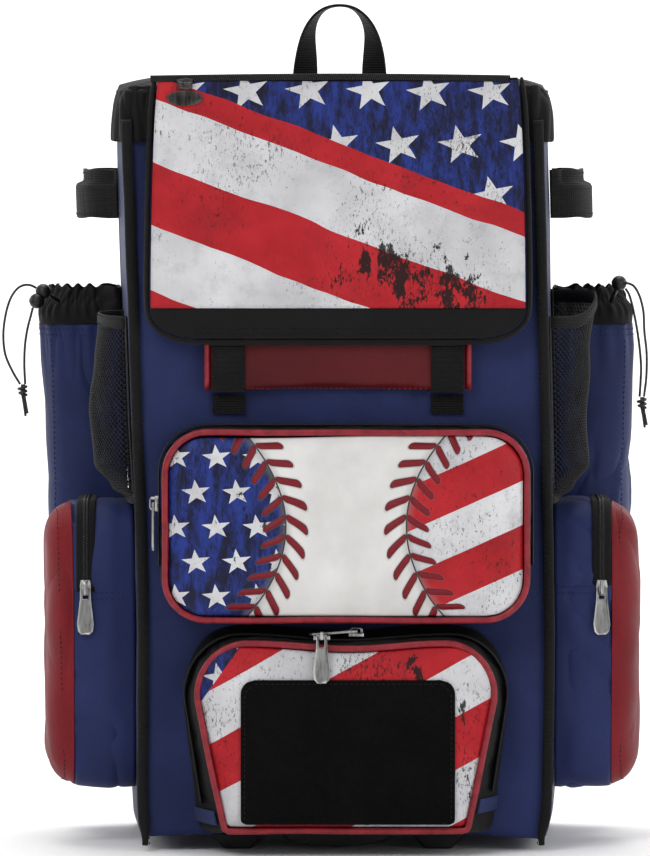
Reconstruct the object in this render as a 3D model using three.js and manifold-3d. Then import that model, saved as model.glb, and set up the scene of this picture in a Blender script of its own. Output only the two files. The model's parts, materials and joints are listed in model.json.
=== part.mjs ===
// A bat backpack: a tall soft body under a lid flap, with stacked front pockets, bat sleeves,
// bottle pockets and zip pockets at the sides. Millimetres, +Z up, the front faces -Y, ground at z = 0.
import * as THREE from "three";
import { mergeVertices } from "three/addons/utils/BufferGeometryUtils.js";
import Module from "manifold-3d";

const wasm = await Module();
wasm.setup();

// Body
const bodyWidth = 322;
const bodyDepth = 232;
const bodyHeight = 571;
const bodyLift = 14;
const bodyFlare = 12;
const bodyWall = 3;
const frontCornerRadius = 8;
const backCornerRadius = 18;
const cornerDip = 7;
const baseTurn = 4;
const baseInset = 14;
const floorInset = 45;
const gap = 0.3;
const sideSeat = 0.6;
const pipingWidth = 8;
const pipingThickness = 6;

// Lid, flap and handle
const hoodWall = 3;
const hoodClearance = 1;
const hoodSkirt = 37;
const hoodRise = 13.5;
const hoodShoulder = 24;
const hoodCrownInset = 64;
const pleatDepth = 2.2;
const flapHeight = 206;
const flapInset = 11.2;
const flapThickness = 6;
const flapBinding = 5.2;
const flapCornerWidth = 34;
const flapCornerHeight = 23;
const printHeight = 171;
const printDrop = 6;
const printThickness = 1.2;
const handleSpan = 56;
const handleRise = 57;
const handleFoot = 36;
const handleWidth = 20;
const webbing = 2.2;

// Band and straps under the flap
const bandWidth = 208;
const bandHeight = 50;
const bandThickness = 9;
const bandBase = 354;
const strapWidth = 25;
const strapSpacing = 168;
const strapUpper = 42;
const strapLower = 15;

// Front pockets
const pipingRadius = 2.5;
const panelWall = 2.5;
const middleWidth = 282;
const middleHeight = 149;
const middleBase = 179;
const middleDepth = 34;
const middleCorner = 34;
const lowerTopWidth = 250;
const lowerBaseWidth = 191;
const lowerHeight = 147;
const lowerBase = 18;
const lowerDepth = 44;
const lowerCorner = 40;
const lowerFootCorner = 5;
const lowerFlare = 17;
const lowerTopFlare = 6;
const pocketShift = 6;
const gussetWall = 2;
const patchWidth = 164;
const patchHeight = 111;
const patchThickness = 1.6;
const tabLength = 11;
const tabRaise = { left: 1, right: 10 };

// Feet
const skidSpacing = 155.6;
const skidTop = 42;
const skidSole = 21;
const skidLength = 196;
const footWidth = 84;
const footDrop = 10.5;
const footDepth = 60;
const footInset = 4;

// Sides
const sleeveReach = 65;
const sleeveDepth = 76;
const sleeveSet = 138;
const sleeveBase = 60;
const sleeveHeight = 342;
const sleeveWall = 2;
const collarHeight = 29;
const ruffle = 2.4;
const sidePocketSet = 32;
const sidePocketLong = 102;
const sidePocketBase = 45;
const sidePocketHeight = 222;
const sidePocketReach = 47;
const sidePocketDome = 22;
const sidePocketCorner = 26;
const meshSet = 18;
const meshLong = 94;
const meshBase = 269;
const meshHeight = 143;
const meshReach = 30;
const meshWall = 1.2;
const loopBase = 486;
const loopWidth = 38;
const loopReach = 30;
const loopLong = 84;

// Zips
const pullLength = 37;
const pullWidth = 13;
const pullThickness = 2.2;
const sliderLength = 12;
const sliderWidth = 9;
const sliderThickness = 3;
const bridgeWidth = 2.4;
const bridgeHole = 3;
const bridgeBar = 1.3;
const sliderToPull = bridgeHole / 2;

// Shoulder straps
const shoulderWidth = 66;
const shoulderThickness = 9;
const shoulderBow = 22;
const shoulderTop = 538;
const shoulderFoot = 92;

const crown = 5;
const noseReach = 3.2;
const frontReach = lowerDepth + 3 * gap + pipingRadius + crown + patchThickness + pullThickness + noseReach;
const backReach = shoulderBow + shoulderThickness;
const frontY = -bodyDepth / 2 + (frontReach - backReach) / 2;
const backY = frontY + bodyDepth;
const bodyTop = bodyLift + bodyHeight;

// The front panel's outline: up is a share of bodyHeight, left and right are shares of half bodyWidth
const bodyOutline = [
  { up: 0.0, left: 0.95, right: 1.002 },
  { up: 0.06, left: 0.961, right: 1.027 },
  { up: 0.34, left: 0.961, right: 1.033 },
  { up: 0.92, left: 1.031, right: 0.983 },
  { up: 1.0, left: 1.026, right: 0.972 },
];

// The flap: down is a share of flapHeight, out of its lean, wide of its half width
const flapRows = [
  { down: 0.0, out: 0.0, wide: 0.955 },
  { down: 0.1, out: 0.0, wide: 0.975 },
  { down: 0.24, out: 0.35, wide: 0.985 },
  { down: 0.5, out: 0.75, wide: 0.995 },
  { down: 0.72, out: 0.9, wide: 1.0 },
];
const flapColumns = 10;

// The carry handle's centre line, in shares of half its span and of its rise
const handleRows = [
  { across: -0.98, up: -0.63 },
  { across: -0.98, up: -0.3 },
  { across: -0.97, up: 0.0 },
  { across: -0.93, up: 0.35 },
  { across: -0.84, up: 0.68 },
  { across: -0.5, up: 0.93 },
  { across: 0.0, up: 1.0 },
  { across: 0.5, up: 0.94 },
  { across: 0.88, up: 0.68 },
  { across: 0.98, up: 0.35 },
  { across: 1.0, up: 0.0 },
  { across: 1.0, up: -0.3 },
  { across: 1.0, up: -0.63 },
];

// The domed front of a pocket: inward is a share of its corner radius, out of its crown
const crownRows = [
  { inward: 0.0, out: 0.0 },
  { inward: 0.2, out: 0.62 },
  { inward: 0.5, out: 1.0 },
];

// The red side panel: inward and out are shares of its corner radius and dome
const domeRows = [
  { inward: 0.0, out: 0.0 },
  { inward: 0.1, out: 0.34 },
  { inward: 0.32, out: 0.68 },
  { inward: 0.75, out: 0.93 },
  { inward: 1.3, out: 1.0 },
];

// A gusset's slack round a pocket: deep is a share of its depth, out of its bulge
const gussetBulge = 2.4;
const gussetRows = [
  { deep: 0.0, out: 0.3 },
  { deep: 0.45, out: 1.0 },
  { deep: 1.0, out: -0.4 },
];

// The bat sleeve: up is a share of sleeveHeight, left and right are shares of sleeveReach
const sleeveRows = [
  { up: 0.0, left: 0.82, right: 0.74 },
  { up: 0.04, left: 0.93, right: 0.8 },
  { up: 0.432, left: 0.98, right: 0.84 },
  { up: 0.72, left: 0.97, right: 0.88 },
  { up: 0.9, left: 0.98, right: 0.93 },
  { up: 1.0, left: 1.0, right: 0.95 },
];

// The gathered neck: up is a share of collarHeight, inward a share of sleeveReach, gather of the ruffle
const collarRows = [
  { up: 0.0, inward: 0.0, gather: 0.0 },
  { up: 0.35, inward: -0.01, gather: 0.55 },
  { up: 0.72, inward: 0.09, gather: 1.0 },
  { up: 1.0, inward: 0.15, gather: 1.0 },
];

// The bottle pocket: up is a share of meshHeight, left and right are shares of meshReach
const meshRows = [
  { up: 0.0, left: 0.05, right: 0.05 },
  { up: 0.07, left: 0.5, right: 0.5 },
  { up: 0.2, left: 0.92, right: 0.9 },
  { up: 0.45, left: 0.98, right: 0.86 },
  { up: 0.75, left: 0.8, right: 0.96 },
  { up: 1.0, left: 0.66, right: 1.16 },
];

// A shoulder strap: along runs from top to foot, away and wide are shares of width, off of the bow
const shoulderRows = [
  { along: 0.0, away: 0.36, off: 0.0, wide: 0.9, thick: 0.6 },
  { along: 0.08, away: 0.38, off: 0.35, wide: 1.0, thick: 1.0 },
  { along: 0.25, away: 0.47, off: 0.9, wide: 1.0, thick: 1.0 },
  { along: 0.45, away: 0.57, off: 1.0, wide: 1.0, thick: 1.0 },
  { along: 0.62, away: 0.66, off: 0.95, wide: 0.9, thick: 0.9 },
  { along: 0.7, away: 0.7, off: 0.8, wide: 0.42, thick: 0.3 },
  { along: 0.86, away: 0.76, off: 0.4, wide: 0.38, thick: 0.26 },
  { along: 1.0, away: 0.8, off: 0.0, wide: 0.38, thick: 0.26 },
];

// The cords' routes, from the lock to the knot
const cordDiameter = 2;
const cordRoutes = {
  cord_left_outer: [
    [-237.1, 26.9, 431.3], [-241.4, 25.2, 433.4], [-247, 23.6, 433.4], [-252.4, 22, 430], [-257.4, 21, 422],
    [-261, 20, 409], [-262.6, 20, 394], [-261, 20, 379], [-255.5, 20.5, 366], [-249.5, 21, 355.8],
  ],
  cord_left_inner: [
    [-239.7, 28.3, 415.7], [-241.2, 28, 409.6], [-243.9, 26.6, 399], [-245.8, 25, 386], [-246.3, 24, 371],
    [-245.6, 23, 355.7],
  ],
  cord_right_outer: [
    [226.8, 24.6, 435.4], [232.5, 23, 432.8], [237, 22, 425], [240, 21, 413], [240.8, 20, 397],
    [242.6, 20, 380], [242.4, 20, 362], [240.6, 20.5, 346],
  ],
  cord_right_inner: [
    [226.2, 28.6, 430.8], [229.8, 28.4, 424], [233.6, 27.4, 408], [236.6, 26.5, 390], [238.4, 25.5, 371],
    [238, 24, 357], [237.2, 22.4, 345.9],
  ],
};
const knots = {
  left: { x: -247.6, y: 22, z: 350.6, tail: 15 },
  right: { x: 239, y: 21.4, z: 340.6, tail: 14 },
};

const point = (x, y, z) => new THREE.Vector3(x, y, z);
const sides = [{ name: "left", sign: -1 }, { name: "right", sign: 1 }];

// Straight-line reading of a table's column at a value of its first key
function read(rows, key, at, column) {
  const last = rows.length - 1;
  let k = 0;
  while (k < last - 1 && at > rows[k + 1][key]) k += 1;
  const share = (at - rows[k][key]) / (rows[k + 1][key] - rows[k][key]);
  const held = Math.min(1, Math.max(0, share));
  return rows[k][column] + held * (rows[k + 1][column] - rows[k][column]);
}

// How far out the body's side wall stands at a height and a distance behind the front face
function sideOut(side, z, y) {
  const share = read(bodyOutline, "up", (z - bodyLift) / bodyHeight, side.name);
  return share * bodyWidth / 2 + bodyFlare * (y - frontY) / bodyDepth;
}

function closed(points, faces) {
  let volume = 0;
  faces.forEach(([a, b, c]) => {
    volume += points[a].dot(new THREE.Vector3().crossVectors(points[b], points[c]));
  });
  const index = faces.flatMap(([a, b, c]) => (volume > 0 ? [a, b, c] : [a, c, b]));
  const flat = new Float32Array(points.flatMap((p) => [p.x, p.y, p.z]));
  const geometry = new THREE.BufferGeometry();
  geometry.setAttribute("position", new THREE.BufferAttribute(flat, 3));
  geometry.setIndex(index);
  return geometry;
}

function bands(rows, count, wrapRows) {
  const faces = [];
  const total = wrapRows ? rows : rows - 1;
  for (let row = 0; row < total; row += 1) {
    const above = ((row + 1) % rows) * count;
    for (let k = 0; k < count; k += 1) {
      const next = (k + 1) % count;
      const [a, b] = [row * count + k, row * count + next];
      faces.push([a, b, above + next], [a, above + next, above + k]);
    }
  }
  return faces;
}

// A body through a stack of rings, its first and last ring filled from the middle
function loft(rings) {
  const count = rings[0].length;
  const points = rings.flat();
  const faces = bands(rings.length, count, false);
  [0, rings.length - 1].forEach((row) => {
    const middle = new THREE.Vector3();
    rings[row].forEach((p) => middle.addScaledVector(p, 1 / count));
    points.push(middle);
    for (let k = 0; k < count; k += 1) {
      const pair = [row * count + k, row * count + ((k + 1) % count)];
      if (row === 0) pair.reverse();
      faces.push([pair[0], pair[1], points.length - 1]);
    }
  });
  return closed(points, faces);
}

// A hoop: a stack of rings whose last ring meets the first
function hoop(rings) {
  return closed(rings.flat(), bands(rings.length, rings[0].length, true));
}

// A cloth piece between two grids of points, its outer and its inner face
function cloth(outer, inner) {
  const rings = outer.map((row, k) => [...row, ...[...inner[k]].reverse()]);
  const count = rings[0].length;
  const across = outer[0].length;
  const faces = bands(rings.length, count, false);
  [0, (rings.length - 1) * count].forEach((start) => {
    for (let k = 0; k < across - 1; k += 1) {
      const [a, b] = [start + k, start + k + 1];
      const [c, d] = [start + count - 2 - k, start + count - 1 - k];
      const quads = [[a, b, c], [a, c, d]];
      quads.forEach((q) => faces.push(start === 0 ? [q[0], q[2], q[1]] : q));
    }
  });
  return closed(rings.flat(), faces);
}

// The grid moved along its own normals, which is the other face of a wall
function offset(grid, distance) {
  const at = (i, k) => grid[Math.min(grid.length - 1, Math.max(0, i))][
    Math.min(grid[0].length - 1, Math.max(0, k))];
  return grid.map((row, i) => row.map((p, k) => {
    const along = at(i + 1, k).clone().sub(at(i - 1, k));
    const across = at(i, k + 1).clone().sub(at(i, k - 1));
    return p.clone().addScaledVector(along.cross(across).normalize(), distance);
  }));
}

// A convex outline with round corners; corners hold x, y and a radius r
function roundOutline(corners, arc = 2, edge = 1) {
  const pieces = corners.map((corner, k) => {
    const before = corners[(k + corners.length - 1) % corners.length];
    const after = corners[(k + 1) % corners.length];
    const here = new THREE.Vector2(corner.x, corner.y);
    const back = new THREE.Vector2(before.x, before.y).sub(here).normalize();
    const ahead = new THREE.Vector2(after.x, after.y).sub(here).normalize();
    const half = Math.acos(back.dot(ahead)) / 2;
    const start = here.clone().addScaledVector(back, corner.r / Math.tan(half));
    const end = here.clone().addScaledVector(ahead, corner.r / Math.tan(half));
    const centre = here.clone().addScaledVector(back.clone().add(ahead).normalize(), corner.r / Math.sin(half));
    return { start, end, centre, r: corner.r };
  });
  const ring = [];
  pieces.forEach(({ start, end, centre, r }, k) => {
    for (let step = 0; step <= arc; step += 1) {
      const first = start.clone().sub(centre).angle();
      let turn = end.clone().sub(centre).angle() - first;
      turn = Math.atan2(Math.sin(turn), Math.cos(turn));
      const angle = first + turn * step / arc;
      ring.push(new THREE.Vector2(centre.x + r * Math.cos(angle), centre.y + r * Math.sin(angle)));
    }
    const following = pieces[(k + 1) % pieces.length].start;
    for (let step = 1; step < edge; step += 1) ring.push(end.clone().lerp(following, step / edge));
  });
  return ring;
}

function rectangle(width, height, radius, grow = 0) {
  const [x, y] = [width / 2 + grow, height / 2 + grow];
  const r = Math.max(0.8, radius + grow);
  return [{ x: -x, y: -y, r }, { x, y: -y, r }, { x, y, r }, { x: -x, y, r }];
}

function extrude(shape, depth) {
  return new THREE.ExtrudeGeometry(shape, { depth, bevelEnabled: false, curveSegments: 4 });
}

function solid(geometry) {
  const bare = geometry.clone();
  bare.deleteAttribute("normal");
  bare.deleteAttribute("uv");
  const merged = mergeVertices(bare, 1e-5);
  return new wasm.Manifold(new wasm.Mesh({
    numProp: 3,
    vertProperties: new Float32Array(merged.attributes.position.array),
    triVerts: new Uint32Array(merged.index.array),
  }));
}

function fromSolid(body) {
  const shape = body.getMesh();
  const geometry = new THREE.BufferGeometry();
  geometry.setAttribute("position", new THREE.BufferAttribute(new Float32Array(shape.vertProperties), 3));
  geometry.setIndex(Array.from(shape.triVerts));
  return geometry;
}

const finishes = {
  blue: { color: 0x26336a, roughness: 0.62 },
  black: { color: 0x151214, roughness: 0.8 },
  red: { color: 0x8c1f28, roughness: 0.65 },
  piping: { color: 0xa32a3a, roughness: 0.4 },
  print: { color: 0xd6d6d8, roughness: 0.6 },
  pile: { color: 0x0c0b0c, roughness: 0.95 },
  metal: { color: 0xb8b8b6, roughness: 0.32, metalness: 1 },
  plastic: { color: 0x111111, roughness: 0.45 },
};
const bag = new THREE.Group();

function add(name, geometry, finish) {
  const material = new THREE.MeshStandardMaterial({ metalness: 0, ...finishes[finish] });
  const mesh = new THREE.Mesh(geometry, material);
  mesh.name = name;
  bag.add(mesh);
  return mesh;
}

// Body

function bodyRing(z, grow, dip = 0) {
  const corner = (side, y, r) => ({
    x: side.sign * (sideOut(side, z, y) + grow),
    y: y + (y === frontY ? -grow : grow),
    r: Math.max(1, r + grow),
  });
  const [left, right] = sides;
  const corners = [
    corner(left, frontY, frontCornerRadius),
    corner(right, frontY, frontCornerRadius),
    corner(right, backY, backCornerRadius),
    corner(left, backY, backCornerRadius),
  ];
  return roundOutline(corners, 2, 4).map((p) => {
    const outward = Math.min(1, Math.abs(p.x) / (bodyWidth / 2));
    return point(p.x, p.y, z - dip * outward ** 8);
  });
}

function bodyShell() {
  const levels = [0.02, 0.06, 0.34, 0.63, 0.92, 1.0].map((up) => bodyLift + bodyHeight * up);
  const outer = [
    bodyRing(bodyLift, -floorInset),
    bodyRing(bodyLift, -baseInset, cornerDip * 0.6),
    bodyRing(bodyLift + 0.5, -bodyWall, cornerDip),
    bodyRing(bodyLift + baseTurn, 0, cornerDip),
    ...levels.map((z) => bodyRing(z, 0)),
  ];
  const inner = [
    ...[...levels].reverse().map((z) => bodyRing(z, -bodyWall)),
    bodyRing(bodyLift + baseTurn + bodyWall, -bodyWall, cornerDip * 0.5),
    bodyRing(bodyLift + bodyWall, -baseInset, cornerDip * 0.5),
    bodyRing(bodyLift + bodyWall, -floorInset),
  ];
  return loft([...outer, ...inner]);
}
add("body_shell", bodyShell(), "blue");

// Binding down each front edge of the body, from the lid's skirt to a pinched tip at the ground
const pipingEnd = 3;
sides.forEach((side) => {
  const top = bodyTop - hoodSkirt - gap;
  const heights = [pipingEnd, bodyLift, ...bodyOutline.slice(1, 4).map((row) => bodyLift + row.up * bodyHeight), top];
  const rings = heights.map((z) => {
    const x = sideOut(side, Math.max(z, bodyLift), frontY) - pipingWidth / 2;
    const ring = [];
    for (let k = 0; k < 8; k += 1) {
      const angle = (k + 0.5) * Math.PI / 4;
      const across = Math.cos(angle) * pipingWidth / 2;
      const deep = Math.sin(angle) * pipingThickness / 2;
      ring.push(point(side.sign * (x + across), frontY - gap - pipingThickness / 2 + deep, z));
    }
    return ring;
  });
  add(`body_piping_${side.name}`, loft(rings), "black");
});

// Lid

const hoodStand = hoodClearance + hoodWall;
const hoodBase = bodyTop - hoodSkirt;

function hoodRing(z, grow, pleats = 0) {
  const ring = bodyRing(Math.min(z, bodyTop), grow);
  return ring.map((p, k) => {
    const onSide = Math.abs(p.x) > bodyWidth * 0.46;
    const forward = p.y < frontY + bodyDepth * 0.5;
    const fold = onSide && forward && k % 2 === 0 ? pleats : 0;
    return point(p.x + Math.sign(p.x) * fold, p.y, z);
  });
}

function lidHood() {
  const outer = [
    hoodRing(hoodBase, hoodStand, pleatDepth),
    hoodRing(bodyTop - 8, hoodStand, pleatDepth),
    hoodRing(bodyTop + hoodRise * 0.4, hoodStand - 6, 0),
    hoodRing(bodyTop + hoodRise * 0.85, -hoodShoulder),
    hoodRing(bodyTop + hoodRise, -hoodCrownInset),
  ];
  const inner = [
    hoodRing(bodyTop + hoodRise - hoodWall, -hoodCrownInset),
    hoodRing(bodyTop + hoodRise * 0.85 - hoodWall, -hoodShoulder),
    hoodRing(bodyTop + 1, hoodClearance),
    hoodRing(hoodBase, hoodClearance),
  ];
  return loft([...outer.reverse(), ...inner.reverse()]);
}
add("lid_hood", lidHood(), "black");

// Flap

const flapTopZ = bodyTop + hoodRise * 0.9;
const flapHem = flapTopZ - flapHeight;
const flapBackTop = frontY - hoodStand - gap;
const flapBackHem = frontY - 4 * gap - bandThickness - webbing;
const flapHalf = bodyWidth / 2 - flapInset;
const panelHalf = flapHalf - flapBinding - gap;
const flapCrown = 3;
const flapSeam = 0.1;
const panelEnd = 1 - (flapBinding + gap) / flapHeight;

// Half width at a height above the hem, with the round lower corners
function flapWide(down, half, corner = flapCornerWidth) {
  const above = flapHeight * (panelEnd - down);
  const into = Math.max(0, 1 - above / flapCornerHeight);
  const wide = read(flapRows, "down", Math.min(down, 0.72), "wide");
  return half * wide - corner * (1 - Math.sqrt(Math.max(0, 1 - into * into)));
}

function flapBack(down, across) {
  const out = down > 0.72 ? 0.9 + 0.1 * (down - 0.72) / 0.28 : read(flapRows, "down", down, "out");
  const puff = Math.sin(Math.PI * Math.min(1, Math.max(0, (down - flapSeam) / (1 - flapSeam))));
  return flapBackTop + (flapBackHem - flapBackTop) * out - flapCrown * puff * (1 - across * across);
}

function flapGrid(downs, half, lift, corner) {
  return downs.map((down) => {
    const row = [];
    for (let k = 0; k <= flapColumns; k += 1) {
      const share = 2 * k / flapColumns - 1;
      const x = share * flapWide(down, half, corner);
      row.push(point(x, flapBack(down, x / flapHalf) - lift, flapTopZ - flapHeight * down));
    }
    return row;
  });
}

const hemRows = [0.888, 0.92, 0.955, 0.985, 1.0];
const panelDowns = [...flapRows.map((row) => row.down), ...hemRows];
const innerDowns = panelDowns.map((down) => down * panelEnd);
add("flap_panel", cloth(flapGrid(innerDowns, panelHalf, flapThickness, flapCornerWidth),
  flapGrid(innerDowns, panelHalf, 0, flapCornerWidth)), "black");

const printStart = printDrop / flapHeight;
const printStop = (printDrop + printHeight) / flapHeight;
const printDowns = [printStart, ...innerDowns.filter((d) => d > printStart + 0.01 && d < printStop - 0.01), printStop];
const printHalf = panelHalf - 2 * gap;
add("flap_print", cloth(flapGrid(printDowns, printHalf, flapThickness + gap + printThickness, 0),
  flapGrid(printDowns, printHalf, flapThickness + gap, 0)), "print");

// Binding round the sides and hem of the flap, in a section of six sides
function flapBindingBody() {
  const edge = flapBinding / 2;
  const hemHalf = flapWide(panelEnd, panelHalf);
  const leftEdge = innerDowns.map((down) => ({ x: -flapWide(down, panelHalf), down }));
  const hem = [-0.66, -0.33, 0, 0.33, 0.66].map((share) => ({ x: share * hemHalf, down: panelEnd }));
  const rightEdge = leftEdge.map(({ x, down }) => ({ x: -x, down })).reverse();
  const route = [...leftEdge, ...hem, ...rightEdge];
  const spots = route.map(({ x, down }) => (
    point(x, flapBack(down, x / flapHalf) - flapThickness / 2, flapTopZ - flapHeight * down)));
  const rings = spots.map((spot, k) => {
    const ahead = spots[Math.min(spots.length - 1, k + 1)];
    const along = ahead.clone().sub(spots[Math.max(0, k - 1)]).setY(0).normalize();
    const outward = point(along.z, 0, -along.x);
    const middle = spot.clone().addScaledVector(outward, gap + edge);
    return Array.from({ length: 6 }, (_, turn) => {
      const angle = turn * Math.PI / 3;
      const lift = Math.sin(angle) * (flapThickness / 2 + 0.8);
      return middle.clone().addScaledVector(outward, Math.cos(angle) * edge).add(point(0, lift, 0));
    });
  });
  return loft(rings);
}
add("flap_binding", flapBindingBody(), "black");

// Carry handle

function carryHandle() {
  const backFace = backY + hoodStand + gap + webbing / 2;
  const footZ = bodyTop + 12;
  const centre = new THREE.CatmullRomCurve3(handleRows.map((row) => (
    point(1.3 + row.across * handleSpan / 2, backFace, footZ + (row.up < 0 ? row.up * handleFoot / 0.63
      : row.up * handleRise)))));
  const steps = 20;
  const faces = [1, -1].map((face) => {
    const grid = [];
    for (let k = 0; k <= steps; k += 1) {
      const spot = centre.getPoint(k / steps);
      const along = centre.getTangent(k / steps);
      const rise = Math.max(0, (spot.z - footZ) / handleRise);
      const twist = Math.PI / 2 * Math.min(1, rise) ** 0.75;
      const level = along.x >= 0 ? 1 : -1;
      const flat = point(along.z, 0, -along.x).normalize();
      const wide = flat.multiplyScalar(Math.cos(twist)).add(point(0, Math.sin(twist) * level, 0)).normalize();
      const normal = new THREE.Vector3().crossVectors(along, wide).normalize();
      const row = [-1, 0, 1].map((across) => spot.clone().addScaledVector(wide, across * handleWidth / 2)
        .addScaledVector(normal, face * webbing / 2));
      grid.push(row);
    }
    return grid;
  });
  return cloth(faces[0], faces[1]);
}
add("carry_handle", carryHandle(), "black");

// Red band under the flap, a crowned pad

function plateRings(outline, depths) {
  return depths.map(({ y, grow }) => roundOutline(outline(grow), 2, 3).map((p) => point(p.x, y, p.y)));
}

function shifted(corners, x, z) {
  return corners.map((c) => ({ x: c.x + x, y: c.y + z, r: c.r }));
}

const bandFront = frontY - gap - bandThickness;
const bandOutline = (grow) => shifted(rectangle(bandWidth, bandHeight, 5, grow), 0, bandBase + bandHeight / 2);
add("grab_band", loft(plateRings(bandOutline, [
  { y: frontY - gap, grow: -1.5 },
  { y: frontY - gap - bandThickness * 0.45, grow: 0 },
  { y: frontY - gap - bandThickness * 0.8, grow: -1.6 },
  { y: bandFront, grow: -4.4 },
])), "red");

// Straps: the upper ones hang over the band, the lower ones lie on the body below it
sides.forEach((side) => {
  const x = side.sign * strapSpacing / 2;
  const strap = (y, base, height) => {
    const rows = [0, 0.5, 1].map((up) => [-1, 0, 1].map((across) => (
      point(x + across * strapWidth / 2, y, base + height * up))));
    const front = rows.map((row) => row.map((p) => p.clone().setY(p.y - webbing)));
    return cloth(front, rows);
  };
  add(`flap_strap_${side.name}_upper`, strap(bandFront - gap, bandBase + 1.5, strapUpper), "black");
  add(`flap_strap_${side.name}_lower`, strap(frontY - gap, bandBase - 0.8 - strapLower, strapLower), "black");
});

// Front pockets

function middleCorners(grow) {
  const corners = rectangle(middleWidth, middleHeight, middleCorner, grow);
  return shifted(corners, pocketShift, middleBase + middleHeight / 2);
}

// The lower pocket is wider where it meets the body than at its front: deep runs from 0 there to 1
function lowerHalf(z, deep) {
  const foot = lowerBaseWidth / 2 + lowerFlare * (1 - deep);
  const top = lowerTopWidth / 2 + lowerTopFlare * (1 - deep);
  return foot + (top - foot) * (z - lowerBase) / lowerHeight;
}

function lowerCorners(grow, footGrow = grow, deep = 1) {
  const low = lowerBase - footGrow;
  const high = lowerBase + lowerHeight + grow;
  const wideAt = (z) => lowerHalf(z, deep) + grow;
  const foot = Math.max(1, lowerFootCorner + footGrow);
  const top = lowerCorner + grow;
  return [
    { x: pocketShift - wideAt(low), y: low, r: foot },
    { x: pocketShift + wideAt(low), y: low, r: foot },
    { x: pocketShift + wideAt(high), y: high, r: top },
    { x: pocketShift - wideAt(high), y: high, r: top },
  ];
}

const ringAt = (corners, y) => roundOutline(corners, 4, 3).map((p) => point(p.x, y, p.y));

function frontGusset(cornersFor, depth) {
  const back = frontY - gap;
  const ringOf = (row, grow) => ringAt(cornersFor(grow, grow, row.deep), back - row.deep * depth);
  const outer = gussetRows.map((row) => ringOf(row, row.out * gussetBulge));
  const inner = gussetRows.map((row) => ringOf(row, row.out * gussetBulge - gussetWall));
  return hoop([...outer, ...inner.reverse()]);
}

function pipingHoop(cornersFor, y, radius) {
  const path = ringAt(cornersFor(-radius), y);
  const rings = path.map((spot, k) => {
    const ahead = path[(k + 1) % path.length];
    const behind = path[(k + path.length - 1) % path.length];
    const along = ahead.clone().sub(behind).normalize();
    const outward = point(along.z, 0, -along.x);
    const ring = [];
    for (let turn = 0; turn < 6; turn += 1) {
      const angle = turn * Math.PI / 3;
      const here = spot.clone().addScaledVector(outward, Math.cos(angle) * radius);
      ring.push(here.add(point(0, Math.sin(angle) * radius, 0)));
    }
    return ring;
  });
  return hoop(rings);
}

function crownedPanel(cornersFor, y, crown, reach, footShare = 1) {
  const inset = -(2 * pipingRadius + 2 * gap);
  const ringOf = (row, extra) => {
    const grow = inset - row.inward * reach - extra;
    const footGrow = inset - row.inward * reach * footShare - extra;
    return ringAt(cornersFor(grow, footGrow), y - crown * row.out + extra);
  };
  const outer = crownRows.map((row) => ringOf(row, 0));
  const inner = crownRows.map((row) => ringOf(row, panelWall));
  inner[0] = ringAt(cornersFor(inset), y + panelWall);
  return loft([...outer.reverse(), ...inner]);
}

const pocketFront = (depth) => frontY - 2 * gap - depth - pipingRadius;
const middleFront = pocketFront(middleDepth);
add("middle_pocket_gusset", frontGusset(middleCorners, middleDepth), "black");
add("middle_pocket_piping", pipingHoop(middleCorners, middleFront, pipingRadius), "piping");
add("middle_pocket_front", crownedPanel(middleCorners, middleFront, crown, middleCorner), "print");

const lowerFront = pocketFront(lowerDepth);
add("lower_pocket_gusset", frontGusset(lowerCorners, lowerDepth), "black");
add("lower_pocket_piping", pipingHoop(lowerCorners, lowerFront, pipingRadius), "piping");
add("lower_pocket_front", crownedPanel(lowerCorners, lowerFront, crown, lowerCorner, 0.06), "print");

// Loop-pile patch on the flat of the lower pocket
const patchBack = lowerFront - crown - gap;
const patchBase = lowerBase + 2 * pipingRadius + 2.8;
const patchCorners = (grow) => [
  { x: pocketShift + 1.5 - patchWidth / 2 - grow, y: patchBase - grow, r: 4 },
  { x: pocketShift + 1.5 + patchWidth / 2 + grow, y: patchBase - grow, r: 4 },
  { x: pocketShift + 1.5 + patchWidth / 2 + grow, y: patchBase + patchHeight + grow, r: 11 },
  { x: pocketShift + 1.5 - patchWidth / 2 - grow, y: patchBase + patchHeight + grow, r: 11 },
];
add("loop_patch", loft([
  ringAt(patchCorners(0), patchBack),
  ringAt(patchCorners(0), patchBack - patchThickness * 0.6),
  ringAt(patchCorners(-1), patchBack - patchThickness),
]), "pile");

// Zip hardware. A slider's own frame: crossbar along x, outwards -y, the teeth run along z.

function sliderBody() {
  const outline = new THREE.Shape();
  const [w, l] = [sliderWidth / 2, sliderLength / 2];
  outline.moveTo(-w * 0.66, -l);
  outline.lineTo(w * 0.66, -l);
  outline.lineTo(w, l * 0.2);
  outline.lineTo(w * 0.8, l);
  outline.lineTo(-w * 0.8, l);
  outline.lineTo(-w, l * 0.2);
  outline.closePath();
  const block = extrude(outline, sliderThickness).rotateX(Math.PI / 2);
  const top = -sliderThickness;
  const rise = bridgeHole + bridgeBar;
  const bridge = new THREE.Shape();
  bridge.moveTo(-l * 0.86, 0.6);
  bridge.lineTo(-l * 0.86, -rise * 0.7);
  bridge.lineTo(-l * 0.5, -rise);
  bridge.lineTo(l * 0.5, -rise);
  bridge.lineTo(l * 0.86, -rise * 0.7);
  bridge.lineTo(l * 0.86, 0.6);
  bridge.lineTo(l * 0.5, 0.6);
  bridge.lineTo(l * 0.5, -bridgeHole);
  bridge.lineTo(-l * 0.5, -bridgeHole);
  bridge.lineTo(-l * 0.5, 0.6);
  bridge.closePath();
  const arch = extrude(bridge, bridgeWidth);
  arch.translate(0, 0, -bridgeWidth / 2);
  arch.rotateY(-Math.PI / 2);
  arch.translate(0, top, 0);
  return fromSolid(solid(block).add(solid(arch)));
}

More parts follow.
